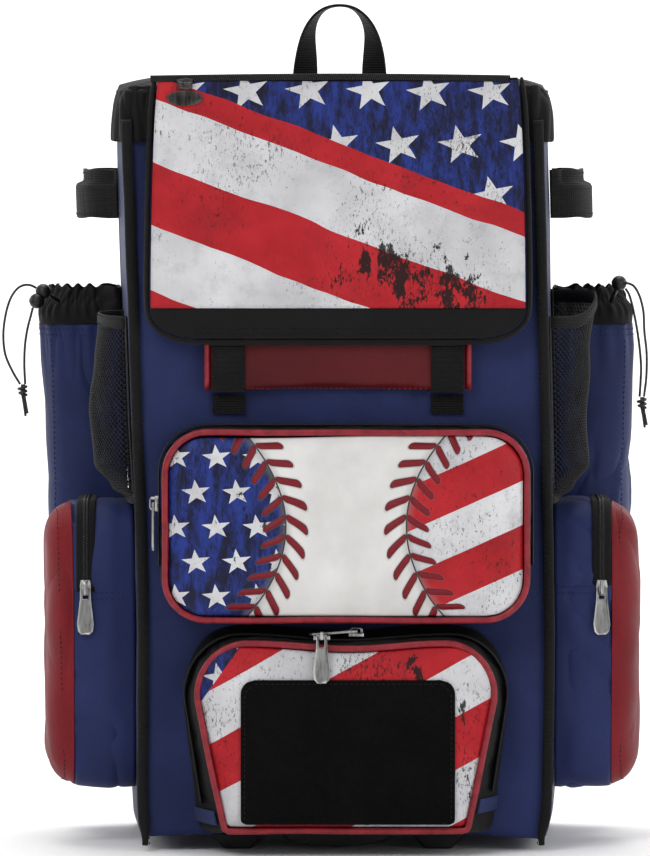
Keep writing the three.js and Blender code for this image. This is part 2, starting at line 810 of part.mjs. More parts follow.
// A tapered pull that hangs from its crossbar, which lies on the x axis
function pullPlate() {
  const bar = 0.85;
  const long = pullLength - bar;
  const w = pullWidth / 2;
  const plate = new THREE.Shape();
  plate.moveTo(-w * 0.62, bar);
  plate.lineTo(w * 0.62, bar);
  plate.lineTo(w * 0.66, -long * 0.25);
  plate.lineTo(w, -long * 0.78);
  plate.lineTo(w * 0.86, -long * 0.93);
  plate.lineTo(w * 0.5, -long);
  plate.lineTo(-w * 0.5, -long);
  plate.lineTo(-w * 0.86, -long * 0.93);
  plate.lineTo(-w, -long * 0.78);
  plate.lineTo(-w * 0.66, -long * 0.25);
  plate.closePath();
  const eye = new THREE.Path();
  const eyeHalf = bridgeWidth / 2 + 1;
  const eyeEnd = sliderLength * 0.43 + bridgeHole + 0.4;
  eye.moveTo(-eyeHalf, -bar);
  eye.lineTo(-eyeHalf, -eyeEnd);
  eye.lineTo(eyeHalf, -eyeEnd);
  eye.lineTo(eyeHalf, -bar);
  eye.closePath();
  plate.holes.push(eye);
  const body = extrude(plate, pullThickness * 0.75);
  body.translate(0, 0, -pullThickness * 0.375);
  return body.rotateX(Math.PI / 2);
}

function placed(geometry, turn, spot) {
  return geometry.applyMatrix4(turn).translate(spot.x, spot.y, spot.z);
}

const axisOut = sliderThickness + sliderToPull;

// A slider whose back seats at a spot and faces outwards, with its pull hanging straight down
function zipPair(sliderName, pullName, seat, turn) {
  add(sliderName, placed(sliderBody(), turn, seat), "metal");
  const pivot = point(0, -axisOut, 0).applyMatrix4(turn).add(seat);
  add(pullName, placed(pullPlate(), turn, pivot), "metal");
}

// Middle pocket: the slider sits on the left gusset and faces left
const leftward = new THREE.Matrix4().makeRotationZ(-Math.PI / 2);
const middleLeft = pocketShift - middleWidth / 2 - gussetBulge - gap;
zipPair("middle_zip_slider", "middle_zip_pull",
  point(middleLeft, frontY - gap - middleDepth * 0.45, middleBase + middleHeight * 0.61), leftward);

// Lower pocket: two sliders meet at the top; one pull hangs in front, the other lies on the gusset
const lowerTop = lowerBase + lowerHeight;
const hangingX = -12.5;
const blockDepth = 11;
const blockFront = frontY - gap - lowerDepth * 0.92;
const hangY = lowerFront - crown - gap - patchThickness - pullThickness;
const hangRise = 4.3;
const lyingTilt = 0.07;

const slackAt = (deep) => read(gussetRows, "deep", deep, "out") * gussetBulge;
const hangingBase = lowerTop + slackAt(0.92 - blockDepth / lowerDepth) + gap;

// A low block on the gusset, with an arm that carries its pull clear of the piping
function hangingSlider() {
  const block = new THREE.BoxGeometry(sliderWidth + 4, blockDepth, sliderThickness);
  block.translate(0, blockDepth / 2, sliderThickness / 2);
  const reach = blockFront - hangY;
  const arm = new THREE.Shape();
  arm.moveTo(-3, 0.6);
  arm.lineTo(0, 0.6);
  arm.lineTo(reach + noseReach, 1.6);
  arm.lineTo(reach + noseReach, 6.4);
  arm.lineTo(reach + 1.6, 7.4);
  arm.lineTo(-3, 6.6);
  arm.closePath();
  const hole = new THREE.Path();
  hole.moveTo(reach - 1.6, hangRise - 1.6);
  hole.lineTo(reach + 1.6, hangRise - 1.6);
  hole.lineTo(reach + 1.6, hangRise + 1.6);
  hole.lineTo(reach - 1.6, hangRise + 1.6);
  hole.closePath();
  arm.holes.push(hole);
  const bridge = extrude(arm, bridgeWidth);
  bridge.translate(0, 0, -bridgeWidth / 2);
  bridge.applyMatrix4(new THREE.Matrix4().makeBasis(point(0, -1, 0), point(0, 0, 1), point(-1, 0, 0)));
  return fromSolid(solid(block).add(solid(bridge)));
}
const upright = new THREE.Matrix4();
add("lower_zip_slider_left", placed(hangingSlider(), upright, point(hangingX, blockFront, hangingBase)), "metal");
add("lower_zip_pull_left", placed(pullPlate(), upright, point(hangingX, hangY, hangingBase + hangRise)), "metal");

const lyingSeat = point(hangingX + 26.5, frontY - gap - lowerDepth * 0.5, lowerTop + slackAt(0.45) + gap);
const lyingZip = new THREE.Matrix4().makeBasis(point(0, 1, 0), point(0, 0, -1), point(-1, 0, 0));
add("lower_zip_slider_right", placed(sliderBody(), lyingZip, lyingSeat), "metal");
const lyingPull = new THREE.Matrix4().makeRotationY(-lyingTilt)
  .multiply(new THREE.Matrix4().makeBasis(point(0, 1, 0), point(0, 0, 1), point(1, 0, 0)));
add("lower_zip_pull_right", placed(pullPlate(), lyingPull, lyingSeat.clone().add(point(0, 0, axisOut))), "metal");

// Cloth tabs over the two ends of the lower zip, which follow the gusset round
sides.forEach((side) => {
  const foot = lowerBase + lowerFootCorner + tabRaise[side.name];
  const grid = (lift) => [0, 1].map((up) => [0, 0.45, 0.9].map((deep) => {
    const z = foot + up * tabLength;
    const out = lowerHalf(z, deep) + slackAt(deep) + sideSeat + lift;
    return point(pocketShift + side.sign * out, frontY - gap - deep * lowerDepth, z);
  }));
  add(`lower_zip_tab_${side.name}`, cloth(grid(webbing / 2), grid(0)), "blue");
});

// Lid zip: a slider and an oval pull that lie on the print at its upper left
const printFace = (x, z) => (
  flapBack((flapTopZ - z) / flapHeight, x / flapHalf) - flapThickness - gap - printThickness);
function seatY(x, z, width, height) {
  const reads = [-1, 1].flatMap((i) => [-1, 1].map((k) => printFace(x + i * width / 2, z + k * height / 2)));
  return Math.min(...reads) - gap;
}
const lidZipX = -flapHalf * 0.785;
const lidSliderZ = flapTopZ - sliderWidth / 2 - 0.6;
const sideways = new THREE.Matrix4().makeRotationY(Math.PI / 2);
add("lid_zip_slider", placed(sliderBody(), sideways,
  point(lidZipX, seatY(lidZipX, lidSliderZ, sliderLength, sliderWidth), lidSliderZ)), "metal");
const ovalWidth = 28;
const ovalHeight = 12;
const ovalZ = lidSliderZ - sliderWidth / 2 - ovalHeight / 2 - 0.5;
const oval = new THREE.Shape();
oval.absellipse(0, 0, ovalWidth / 2, ovalHeight / 2, 0, Math.PI * 2);
const ovalPlate = new THREE.ExtrudeGeometry(oval, { depth: 1.8, bevelEnabled: false, curveSegments: 9 });
ovalPlate.rotateX(Math.PI / 2);
add("lid_zip_pull", placed(ovalPlate, upright,
  point(lidZipX, seatY(lidZipX, ovalZ, ovalWidth * 0.9, ovalHeight * 0.8), ovalZ)), "metal");

// Feet
const soleTop = bodyLift - gap - 0.8;
sides.forEach((side) => {
  const skid = new THREE.Shape();
  skid.moveTo(-skidSole / 2, 0);
  skid.lineTo(skidSole / 2, 0);
  skid.lineTo(skidTop / 2, soleTop);
  skid.lineTo(-skidTop / 2, soleTop);
  skid.closePath();
  const body = extrude(skid, skidLength).rotateX(Math.PI / 2);
  add(`skid_${side.name}`, placed(body, upright, point(side.sign * skidSpacing / 2,
    frontY + (bodyDepth + skidLength) / 2, 0)), "plastic");
});
const dome = new THREE.Shape();
dome.moveTo(-footWidth / 2, 0);
for (let k = 1; k < 10; k += 1) {
  const angle = Math.PI * k / 10;
  dome.lineTo(-Math.cos(angle) * footWidth / 2, -Math.sin(angle) * footDrop);
}
dome.lineTo(footWidth / 2, 0);
dome.closePath();
add("centre_foot", placed(extrude(dome, footDepth).rotateX(Math.PI / 2), upright,
  point(0, frontY + footInset + footDepth, bodyLift - gap)), "plastic");

// Bat sleeves and their gathered necks
const sleeveFront = frontY + sleeveSet;
const sleeveBack = sleeveFront + sleeveDepth;
const sleeveTop = sleeveBase + sleeveHeight;
const kinkZ = bodyLift + bodyOutline[2].up * bodyHeight;

function sleeveOutline(side, z, reach, grow) {
  const wall = (y) => sideOut(side, z, y) + sideSeat - Math.min(0, grow);
  const out = sideOut(side, z, (sleeveFront + sleeveBack) / 2) + sideSeat + reach + grow;
  const [front, back] = [sleeveFront - grow, sleeveBack + grow];
  return [
    { x: wall(front), y: front, r: 5 },
    { x: out, y: front, r: 26 + grow },
    { x: out, y: back, r: 26 + grow },
    { x: wall(back), y: back, r: 5 },
  ];
}

function batSleeve(side) {
  const heights = [...sleeveRows.map((row) => sleeveBase + row.up * sleeveHeight), kinkZ].sort((a, b) => a - b);
  const ring = (z, grow) => {
    const reach = sleeveReach * read(sleeveRows, "up", (z - sleeveBase) / sleeveHeight, side.name);
    return roundOutline(sleeveOutline(side, z, reach, grow), 2, 2).map((p) => point(side.sign * p.x, p.y, z));
  };
  const outer = heights.map((z) => ring(z, 0));
  const inner = heights.filter((z) => z > sleeveBase + 20).map((z) => ring(z, -sleeveWall));
  return loft([...outer, ...inner.reverse(), ring(sleeveBase + sleeveWall, -sleeveWall - 2)]);
}

function sleeveCollar(side) {
  const topShare = sleeveRows[sleeveRows.length - 1][side.name];
  const ring = (row, grow) => {
    const z = sleeveTop + gap + row.up * collarHeight;
    const reach = sleeveReach * (topShare - row.inward);
    const corners = sleeveOutline(side, z, reach, 0);
    const outline = roundOutline(corners, 4, 3);
    const wall = sideOut(side, z, sleeveFront) + sideSeat;
    return outline.map((p, k) => {
      const free = Math.min(1, Math.max(0, (p.x - wall - 6) / 8));
      const fold = row.gather * ruffle * free * (k % 2 === 0 ? 1 : -0.6);
      const middle = new THREE.Vector2((wall + corners[1].x) / 2, (sleeveFront + sleeveBack) / 2);
      const away = p.clone().sub(middle).normalize();
      const squeeze = row.inward * sleeveReach * free * Math.abs(away.y);
      const spot = p.clone().addScaledVector(away, grow + fold);
      return point(side.sign * Math.max(spot.x, wall), spot.y - Math.sign(away.y) * squeeze, z);
    });
  };
  const outer = collarRows.map((row) => ring(row, 0));
  const inner = collarRows.map((row) => ring(row, -1.6));
  inner.forEach((row) => row.forEach((p) => {
    const wall = sideOut(side, p.z, p.y) + sideSeat + 1.6;
    p.x = side.sign * Math.max(Math.abs(p.x), wall);
  }));
  return hoop([...outer, ...inner.reverse()]);
}

sides.forEach((side) => {
  add(`bat_sleeve_${side.name}`, batSleeve(side), "blue");
  add(`sleeve_collar_${side.name}`, sleeveCollar(side), "black");
});

// Cord locks, each with a stub of cord out of the gathered neck
const ball = (x, y, z, r) => solid(new THREE.SphereGeometry(r, 8, 6).translate(x, y, z));
function rod(from, to, radius, count = 6) {
  const length = from.distanceTo(to);
  const body = new THREE.CylinderGeometry(radius, radius, length, count);
  const turn = new THREE.Quaternion().setFromUnitVectors(point(0, 1, 0), to.clone().sub(from).normalize());
  body.applyQuaternion(turn);
  const middle = from.clone().add(to).multiplyScalar(0.5);
  return solid(body.translate(middle.x, middle.y, middle.z));
}
const lockRadius = 6;
add("cord_lock_left", fromSolid(ball(-231.5, 29, 428.5, lockRadius).add(ball(-236.5, 26, 421, lockRadius))
  .add(rod(point(-231.5, 29, 428.5), point(-219.6, 41.3, 420.4), 1.5))), "plastic");
add("cord_lock_right", fromSolid(ball(221.2, 28, 435, lockRadius).add(rod(point(221.2, 28, 435),
  point(220.5, 31, 424), 2.4)).add(rod(point(220.5, 31, 425), point(215.2, 40, 419.7), 1.5))), "plastic");

// Cords and knots
function cord(route) {
  const path = new THREE.CatmullRomCurve3(route.map(([x, y, z]) => point(x, y, z)));
  const section = new THREE.Shape();
  for (let k = 0; k < 8; k += 1) {
    const angle = (k + 0.5) * Math.PI / 4;
    const spot = [Math.cos(angle) * cordDiameter / 2, Math.sin(angle) * cordDiameter / 2];
    if (k === 0) section.moveTo(...spot);
    else section.lineTo(...spot);
  }
  section.closePath();
  const steps = Math.ceil(path.getLength() / (3 * cordDiameter));
  return new THREE.ExtrudeGeometry(section, { steps, extrudePath: path, bevelEnabled: false });
}
Object.entries(cordRoutes).forEach(([name, route]) => add(name, cord(route), "black"));
sides.forEach((side) => {
  const { x, y, z, tail } = knots[side.name];
  const knot = solid(new THREE.SphereGeometry(5, 8, 6).scale(0.8, 0.8, 1.1).translate(x, y, z));
  const tails = rod(point(x, y, z), point(x + 3.5, y, z - 5 - tail), 1.3);
  add(`cord_knot_${side.name}`, fromSolid(knot.add(tails)), "black");
});

// Bottle pockets: a net pouch, open at the top and closed against the body at its foot
sides.forEach((side) => {
  const columns = 8;
  const inner = meshRows.map((row) => {
    const z = meshBase + row.up * meshHeight;
    return Array.from({ length: columns + 1 }, (_, k) => {
      const share = k / columns;
      const y = frontY + meshSet + share * meshLong;
      const out = sideOut(side, z, y) + sideSeat + meshReach * row[side.name] * Math.sin(Math.PI * share) ** 0.7;
      return point(side.sign * out, y, z);
    });
  });
  add(`mesh_pocket_${side.name}`, cloth(offset(inner, -side.sign * meshWall), inner), "black");
});

// Side zip pockets: a blue gusset and a domed red outer panel
const sidePocketMiddle = frontY + sidePocketSet + sidePocketLong / 2;
const sidePocketShares = { left: 1.0, right: 0.93 };

function sidePocketRing(side, grow, out) {
  const corners = rectangle(sidePocketLong, sidePocketHeight, sidePocketCorner, grow);
  return roundOutline(corners, 3, 3).map((p) => {
    const y = p.x + sidePocketMiddle;
    const z = p.y + sidePocketBase + sidePocketHeight / 2;
    const rise = sideSeat + out * sidePocketShares[side.name];
    return point(side.sign * (sideOut(side, z, y) + rise), y, z);
  });
}

sides.forEach((side) => {
  const outer = gussetRows.map((row) => sidePocketRing(side, row.out * gussetBulge, row.deep * sidePocketReach));
  const inner = gussetRows.map((row) => (
    sidePocketRing(side, row.out * gussetBulge - gussetWall, row.deep * sidePocketReach)));
  add(`side_pocket_gusset_${side.name}`, hoop([...outer, ...inner.reverse()]), "blue");

  const rim = sidePocketReach + gap * 1.2;
  const edge = gussetRows[2].out * gussetBulge;
  const skin = domeRows.map((row) => (
    sidePocketRing(side, edge - row.inward * sidePocketCorner, rim + row.out * sidePocketDome)));
  const lining = domeRows.map((row) => sidePocketRing(side,
    edge - gussetWall - row.inward * sidePocketCorner, rim + Math.max(0, row.out * sidePocketDome - gussetWall)));
  add(`side_pocket_panel_${side.name}`, loft([...skin.reverse(), ...lining]), "red");

  const out = sidePocketReach * 0.82 * sidePocketShares[side.name];
  const sliderZ = sidePocketBase + sidePocketHeight * 0.707;
  const slack = slackAt(0.82 - sliderWidth / 2 / sidePocketReach);
  const front = frontY + sidePocketSet;
  const x = side.sign * (sideOut(side, sliderZ, front) + sideSeat + out);
  zipPair(`side_zip_slider_${side.name}`, `side_zip_pull_${side.name}`,
    point(x, front - slack - gap, sliderZ), upright);
});

// Loops that hold the bat handles against the upper body
sides.forEach((side) => {
  const steps = 10;
  const inner = [0, 0.5, 1].map((up) => {
    const z = loopBase + up * loopWidth;
    return Array.from({ length: steps + 1 }, (_, k) => {
      const share = k / steps;
      const y = frontY + sleeveSet - 6 + share * loopLong;
      const bow = Math.sin(Math.PI * share) ** 0.45;
      return point(side.sign * (sideOut(side, z, y) + sideSeat + loopReach * bow), y, z);
    });
  });
  add(`bat_loop_${side.name}`, cloth(offset(inner, -side.sign * 3), inner), "black");
});

// Shoulder straps: padded at the top, webbing at the foot
sides.forEach((side) => {
  const inner = shoulderRows.map((row) => [-1, -0.5, 0, 0.5, 1].map((across) => point(
    side.sign * row.away * bodyWidth / 2 + across * row.wide * shoulderWidth / 2,
    backY + gap + row.off * shoulderBow,
    shoulderTop - row.along * (shoulderTop - shoulderFoot),
  )));
  const outer = inner.map((line, k) => line.map((p, i) => {
    const edge = i === 0 || i === 4 ? 0.55 : 1;
    return p.clone().setY(p.y + shoulderThickness * shoulderRows[k].thick * edge);
  }));
  add(`shoulder_strap_${side.name}`, cloth(outer, inner), "black");
});

export default bag;
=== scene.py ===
# %% [markdown]
# A bat backpack is almost all cloth: panels of coated polyester that hang from seams, edged with binding
# and piping, and closed with zips. The frame below is the finished construction at its real size. Each cell
# takes one piece of it and gives it the folds, seams and surface of the real thing.

# %% The frame
import json
import math
import bmesh
import bpy
from mathutils import Matrix, Vector, noise

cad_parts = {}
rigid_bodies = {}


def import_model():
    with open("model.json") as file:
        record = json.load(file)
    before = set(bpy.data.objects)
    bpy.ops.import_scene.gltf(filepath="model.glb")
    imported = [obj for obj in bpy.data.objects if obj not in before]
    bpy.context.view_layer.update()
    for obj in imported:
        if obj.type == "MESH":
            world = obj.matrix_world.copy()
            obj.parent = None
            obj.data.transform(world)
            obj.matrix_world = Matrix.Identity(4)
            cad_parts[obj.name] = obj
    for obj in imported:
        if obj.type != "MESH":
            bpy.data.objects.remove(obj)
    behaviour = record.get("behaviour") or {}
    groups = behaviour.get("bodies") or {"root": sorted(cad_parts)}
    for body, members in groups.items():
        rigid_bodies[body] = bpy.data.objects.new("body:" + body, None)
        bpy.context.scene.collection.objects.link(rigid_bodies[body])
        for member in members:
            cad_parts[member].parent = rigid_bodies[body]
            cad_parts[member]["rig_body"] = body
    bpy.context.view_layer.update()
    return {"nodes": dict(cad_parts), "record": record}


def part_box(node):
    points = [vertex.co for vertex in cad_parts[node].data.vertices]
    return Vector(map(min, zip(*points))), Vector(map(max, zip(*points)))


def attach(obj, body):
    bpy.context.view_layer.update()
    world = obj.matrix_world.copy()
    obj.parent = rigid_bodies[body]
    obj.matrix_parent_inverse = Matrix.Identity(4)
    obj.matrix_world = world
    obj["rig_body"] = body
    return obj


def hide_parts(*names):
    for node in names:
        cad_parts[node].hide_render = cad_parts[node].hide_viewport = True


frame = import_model()
nodes = frame["nodes"]
scene = bpy.context.scene
MM = 0.001
SIDES = {"left": -1, "right": 1}
FORWARD = (0, -1, 0)

# %% [markdown]
# The photograph is taken from straight in front and from far away, so that the sides hardly taper. A long
# lens at 6 m, a little above the middle of the bag, gives the same flat view. The lens is worked out from
# how wide a strip the picture takes in where the front face stands.

# %% Camera
VIEW_DISTANCE = 6.0
VIEW_RISE = math.radians(2.75)
VIEW_WIDTH = 0.5005
SENSOR_WIDTH = 36.0
front_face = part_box("body_shell")[0].y
aim = Vector((-0.0100, front_face, 0.3272))
camera_data = bpy.data.cameras.new("camera")
camera_data.sensor_fit = "HORIZONTAL"
camera_data.sensor_width = SENSOR_WIDTH
camera_data.lens = SENSOR_WIDTH * VIEW_DISTANCE / VIEW_WIDTH
camera_data.clip_end = 60
camera = bpy.data.objects.new("camera", camera_data)
scene.collection.objects.link(camera)
camera.location = aim + VIEW_DISTANCE * Vector((0, -math.cos(VIEW_RISE), math.sin(VIEW_RISE)))
camera.rotation_euler = (aim - camera.location).to_track_quat("-Z", "Y").to_euler()
scene.camera = camera
scene.view_settings.view_transform = "Standard"
print("lens", round(camera_data.lens))

# %% [markdown]
# A studio for a catalogue picture is a pale sweep of paper that runs from the floor up the wall without an
# edge. A profile of a few points, extruded sideways and smoothed, makes it. Large soft lights from the front
# keep the shadows weak, and one from each side draws the edges. The paper has one side only: from behind it is
# clear, so that the back of the bag can be pictured on the same set.

# %% Paper sweep and lights
def paper_finish():
    material = bpy.data.materials.new("pale_paper")
    material.use_nodes = True
    tree = material.node_tree
    shader = tree.nodes["Principled BSDF"]
    shader.inputs["Base Color"].default_value = (0.97, 0.97, 0.97, 1)
    shader.inputs["Roughness"].default_value = 0.9
    shader.inputs["Specular IOR Level"].default_value = 0.1
    side = tree.nodes.new("ShaderNodeNewGeometry")
    clear = tree.nodes.new("ShaderNodeBsdfTransparent")
    either = tree.nodes.new("ShaderNodeMixShader")
    tree.links.new(side.outputs["Backfacing"], either.inputs[0])
    tree.links.new(shader.outputs["BSDF"], either.inputs[1])
    tree.links.new(clear.outputs["BSDF"], either.inputs[2])
    tree.links.new(either.outputs["Shader"], tree.nodes["Material Output"].inputs["Surface"])
    return material


sweep = bmesh.new()
profile = [(-9, 0), (-5, 0), (-1, 0), (0.9, 0), (1.7, 0), (2.5, 0.15), (2.9, 0.6), (3.1, 1.4), (3.1, 6)]
spots = [sweep.verts.new((-6, y, z)) for y, z in profile]
edges = [sweep.edges.new(pair) for pair in zip(spots, spots[1:])]
swept = bmesh.ops.extrude_edge_only(sweep, edges=edges)["geom"]
bmesh.ops.translate(sweep, verts=[v for v in swept if isinstance(v, bmesh.types.BMVert)], vec=(12, 0, 0))
sweep.normal_update()
if min(face.normal.z for face in sweep.faces) < 0:
    bmesh.ops.reverse_faces(sweep, faces=sweep.faces[:])
sweep_mesh = bpy.data.meshes.new("paper_sweep")
sweep.to_mesh(sweep_mesh)
sweep.free()
paper = bpy.data.objects.new("paper_sweep", sweep_mesh)
scene.collection.objects.link(paper)
paper_smooth = paper.modifiers.new("smooth", "SUBSURF")
paper_smooth.levels = paper_smooth.render_levels = 3
sweep_mesh.shade_smooth()
sweep_mesh.materials.append(paper_finish())


def soft_light(name, place, target, size, watts):
    data = bpy.data.lights.new(name, "AREA")
    data.size = size
    data.energy = watts
    lamp = bpy.data.objects.new(name, data)
    lamp.location = place
    lamp.rotation_euler = (Vector(target) - Vector(place)).to_track_quat("-Z", "Y").to_euler()
    scene.collection.objects.link(lamp)


soft_light("key", (-1.2, -2.4, 2.2), (0, 0, 0.35), 1.4, 36)
soft_light("fill", (1.8, -2.2, 1.0), (0, 0, 0.3), 1.6, 20)
soft_light("top", (0, 0.2, 2.6), (0, 0, 0.3), 1.6, 18)
soft_light("edge_left", (-2.2, 0.8, 1.2), (0, 0, 0.3), 1.0, 13)
soft_light("edge_right", (2.2, 0.8, 1.2), (0, 0, 0.3), 1.0, 13)
soft_light("paper_light", (0, 1.0, 2.6), (0, 3.0, 0.6), 2.4, 60)
world = bpy.data.worlds.new("studio")
world.use_nodes = True
world.node_tree.nodes["Background"].inputs["Color"].default_value = (1, 1, 1, 1)
world.node_tree.nodes["Background"].inputs["Strength"].default_value = 0.36
scene.world = world

# %% [markdown]
# Materials are written as small recipes. A helper class keeps the node wiring short: it adds a node, sets
# its sockets by name and links what it is given. Every pattern reads Object coordinates, which are metres on
# this bag, so a weave of 0.5 mm is 0.5 mm on every piece.

# %% A short way to wire nodes
class Recipe:
    def __init__(self, name):
        self.material = bpy.data.materials.new(name)
        self.material.use_nodes = True
        self.tree = self.material.node_tree
        self.shader = self.tree.nodes["Principled BSDF"]
        self.place = self.add("ShaderNodeTexCoord").outputs["Object"]

    def add(self, kind, **sockets):
        node = self.tree.nodes.new(kind)
        for key, value in sockets.items():
            label = key.replace("_", " ")
            if hasattr(node, key) and label not in node.inputs:
                setattr(node, key, value)
            else:
                self.feed(node.inputs[label], value)
        return node

    def feed(self, socket, value):
        if isinstance(value, bpy.types.NodeSocket):
            self.tree.links.new(value, socket)
        else:
            socket.default_value = value

    def fed(self, node, sockets, values, out=0):
        for socket, value in zip(sockets, values):
            self.feed(node.inputs[socket], value)
        return node.outputs[out]

    def math(self, operation, a, b=0.0):
        return self.fed(self.add("ShaderNodeMath", operation=operation), (0, 1), (a, b))

    def plus(self, a, b):
        return self.math("ADD", a, b)

    def minus(self, a, b):
        return self.math("SUBTRACT", a, b)

    def times(self, a, b):
        return self.math("MULTIPLY", a, b)

    def over(self, a, b):
        return self.math("DIVIDE", a, b)

    def sine(self, a):
        return self.math("SINE", a)

    def mix(self, share, a, b):
        return self.fed(self.add("ShaderNodeMix", data_type="RGBA"), (0, 6, 7), (share, a, b), 2)

    def axes(self, vector):
        return self.add("ShaderNodeSeparateXYZ", Vector=vector).outputs

    def scaled(self, x=1.0, y=1.0, z=1.0, turn=(0, 0, 0), shift=(0, 0, 0)):
        return self.add("ShaderNodeMapping", Vector=self.place, Scale=(x, y, z), Rotation=turn,
                        Location=shift).outputs["Vector"]

    def cloud(self, scale, detail=4.0, vector=None, roughness=0.55):
        return self.add("ShaderNodeTexNoise", Vector=vector or self.place, Scale=scale, Detail=detail,
                        Roughness=roughness).outputs["Fac"]

    def steps(self, value, low, high, to_low=0.0, to_high=1.0):
        return self.fed(self.add("ShaderNodeMapRange"), range(5), (value, low, high, to_low, to_high))

    def relief(self, height, strength, depth=0.0003, under=None):
        bump = self.add("ShaderNodeBump", Strength=strength, Distance=depth, Height=height)
        if under is not None:
            self.feed(bump.inputs["Normal"], under)
        return bump.outputs["Normal"]

    def weave(self, pitch):
        """Warp and weft: crossed waves, in the plane that each face looks out of."""
        parts = self.axes(self.scaled(1 / pitch, 1 / pitch, 1 / pitch))
        warp = self.sine(self.times(self.plus(parts[0], parts[1]), math.pi))
        weft = self.sine(self.times(parts[2], math.pi))
        return self.plus(self.times(warp, weft), self.times(warp, 0.25))

    def finish(self, color, roughness, normal=None, metallic=0.0, sheen=0.0, coat=0.0, specular=0.5):
        values = {"Base Color": color, "Roughness": roughness, "Metallic": metallic, "Sheen Weight": sheen,
                  "Sheen Roughness": 0.4, "Coat Weight": coat, "Coat Roughness": 0.25,
                  "Specular IOR Level": specular}
        if normal is not None:
            values["Normal"] = normal
        for name, value in values.items():
            self.feed(self.shader.inputs[name], value)
        return self.material


def shade(red, green, blue):
    """A colour as the eye reads it on a screen, 0 to 255, turned into the linear value that light needs."""
    return tuple(((v / 255 + 0.055) / 1.055) ** 2.4 if v > 10 else v / 255 / 12.92
                 for v in (red, green, blue)) + (1.0,)


print("recipe helper ready")

# %% [markdown]
# The main cloth is polyester with a thin coat: a fine plain weave under a soft sheen. Its colour isn't even,
# since the coat is thicker in some places and creases rub lighter, so two slow clouds shift it. The weave is
# relief alone, because threads of 0.5 mm would flicker as geometry.

# %% Cloth finishes
def coated_cloth(name, dark, light, pitch=0.00055, sheen=0.06, roughness=0.58):
    r = Recipe(name)
    wear = r.cloud(9, 5)
    fine = r.cloud(240, 3)
    color = r.mix(r.steps(wear, 0.32, 0.72), dark, light)
    color = r.mix(r.steps(fine, 0.35, 0.8, 0.0, 0.22), color, tuple(v * 0.45 for v in dark[:3]) + (1,))
    slow = r.relief(r.cloud(38, 3), 0.35, 0.0012)
    normal = r.relief(r.weave(pitch), 0.45, 0.00012, slow)
    rough = r.steps(wear, 0.3, 0.7, roughness + 0.06, roughness - 0.06)
    return r.finish(color, rough, normal, sheen=sheen, specular=0.2)


BLUE_DARK = shade(23, 32, 72)
BLUE_LIGHT = shade(35, 46, 94)
blue_cloth = coated_cloth("blue_cloth", BLUE_DARK, BLUE_LIGHT)
red_cloth = coated_cloth("red_cloth", shade(96, 12, 20), shade(126, 20, 30))
# painted shade: the band hangs under the flap, so it gets a darker copy of the red cloth that stands in for the
# flap's shadow
band_cloth_in_painted_shade = coated_cloth("band_red_painted_shade", shade(66, 10, 15), shade(92, 17, 23))
black_cloth = coated_cloth("black_cloth", shade(6, 5, 6), shade(14, 11, 12), 0.0007, 0.03, 0.72)
print("coated cloths", blue_cloth.name, red_cloth.name, black_cloth.name)

# %% [markdown]
# Binding and webbing are woven narrow. Grosgrain binding shows fine ribs across its length, and webbing
# shows thick ones with a herringbone between them. Both are nearly black, so what the eye reads is how
# the ribs catch the light: the relief is stronger than on the cloth, the sheen lifts the ribs' tops, and the
# grooves between the ribs are painted darker as painted shade.

# %% Narrow weaves
def ribbed(name, dark, light, rib, axis, depth=0.00025, roughness=0.7):
    r = Recipe(name)
    parts = r.axes(r.scaled(1 / rib, 1 / rib, 1 / rib))
    along = parts["XYZ".index(axis)]
    across = r.plus(parts[("XYZ".index(axis) + 1) % 3], parts[("XYZ".index(axis) + 2) % 3])
    rows = r.sine(r.times(along, math.tau))
    cells = r.sine(r.times(across, math.tau * 0.7))
    height = r.plus(rows, r.times(cells, 0.35))
    dust = r.cloud(60, 4)
    color = r.mix(r.steps(dust, 0.35, 0.75), dark, light)
    # painted shade: the grooves between the ribs are painted darker than the rib tops
    color = r.mix(r.steps(rows, -1, 1, 0.5, 0.0), color, tuple(v * 0.4 for v in dark[:3]) + (1,))
    return r.finish(color, roughness, r.relief(height, 0.7, depth), sheen=0.06, specular=0.22)


binding_cloth = ribbed("binding_cloth", shade(9, 7, 8), shade(19, 16, 17), 0.0011, "Z")
webbing_weave = ribbed("webbing_weave", shade(8, 7, 7), shade(19, 16, 17), 0.0019, "Z", 0.0004)


def tape_cloth():
    r = Recipe("zip_tape")
    height = r.weave(0.0009)
    color = r.mix(r.cloud(90, 3), shade(6, 5, 6), shade(15, 13, 14))
    return r.finish(color, 0.75, r.relief(height, 0.6, 0.0002), sheen=0.04, specular=0.2)


def coil_plastic():
    r = Recipe("zip_coil")
    color = r.mix(r.cloud(300, 2), shade(16, 15, 16), shade(34, 32, 33))
    return r.finish(color, 0.38, r.relief(r.cloud(900, 2), 0.3, 0.0001), specular=0.5)


def thread_finish(name, dark, light):
    r = Recipe(name)
    color = r.mix(r.cloud(700, 2), dark, light)
    return r.finish(color, 0.65, r.relief(r.cloud(2400, 2), 0.5, 0.0001), sheen=0.04, specular=0.2)


zip_tape = tape_cloth()
zip_coil = coil_plastic()
dark_thread = thread_finish("dark_thread", shade(7, 6, 6), shade(23, 20, 21))
blue_thread = thread_finish("blue_thread", shade(18, 25, 58), shade(40, 52, 102))
print("narrow weaves ready")

# %% [markdown]
# Piping is a cord wrapped in soft vinyl. It is glossy, with a faint grain and small dents where the needle
# pulls it in, so it gets a thin coat over a rough base.

# %% Piping, pile, metal and plastics
def vinyl_piping():
    r = Recipe("red_vinyl")
    dents = r.cloud(130, 3)
    color = r.mix(r.steps(dents, 0.3, 0.75), shade(112, 16, 28), shade(146, 32, 44))
    normal = r.relief(r.cloud(420, 3), 0.3, 0.0002, r.relief(dents, 0.4, 0.0006))
    return r.finish(color, r.steps(dents, 0.3, 0.7, 0.52, 0.4), normal, coat=0.15, specular=0.3)


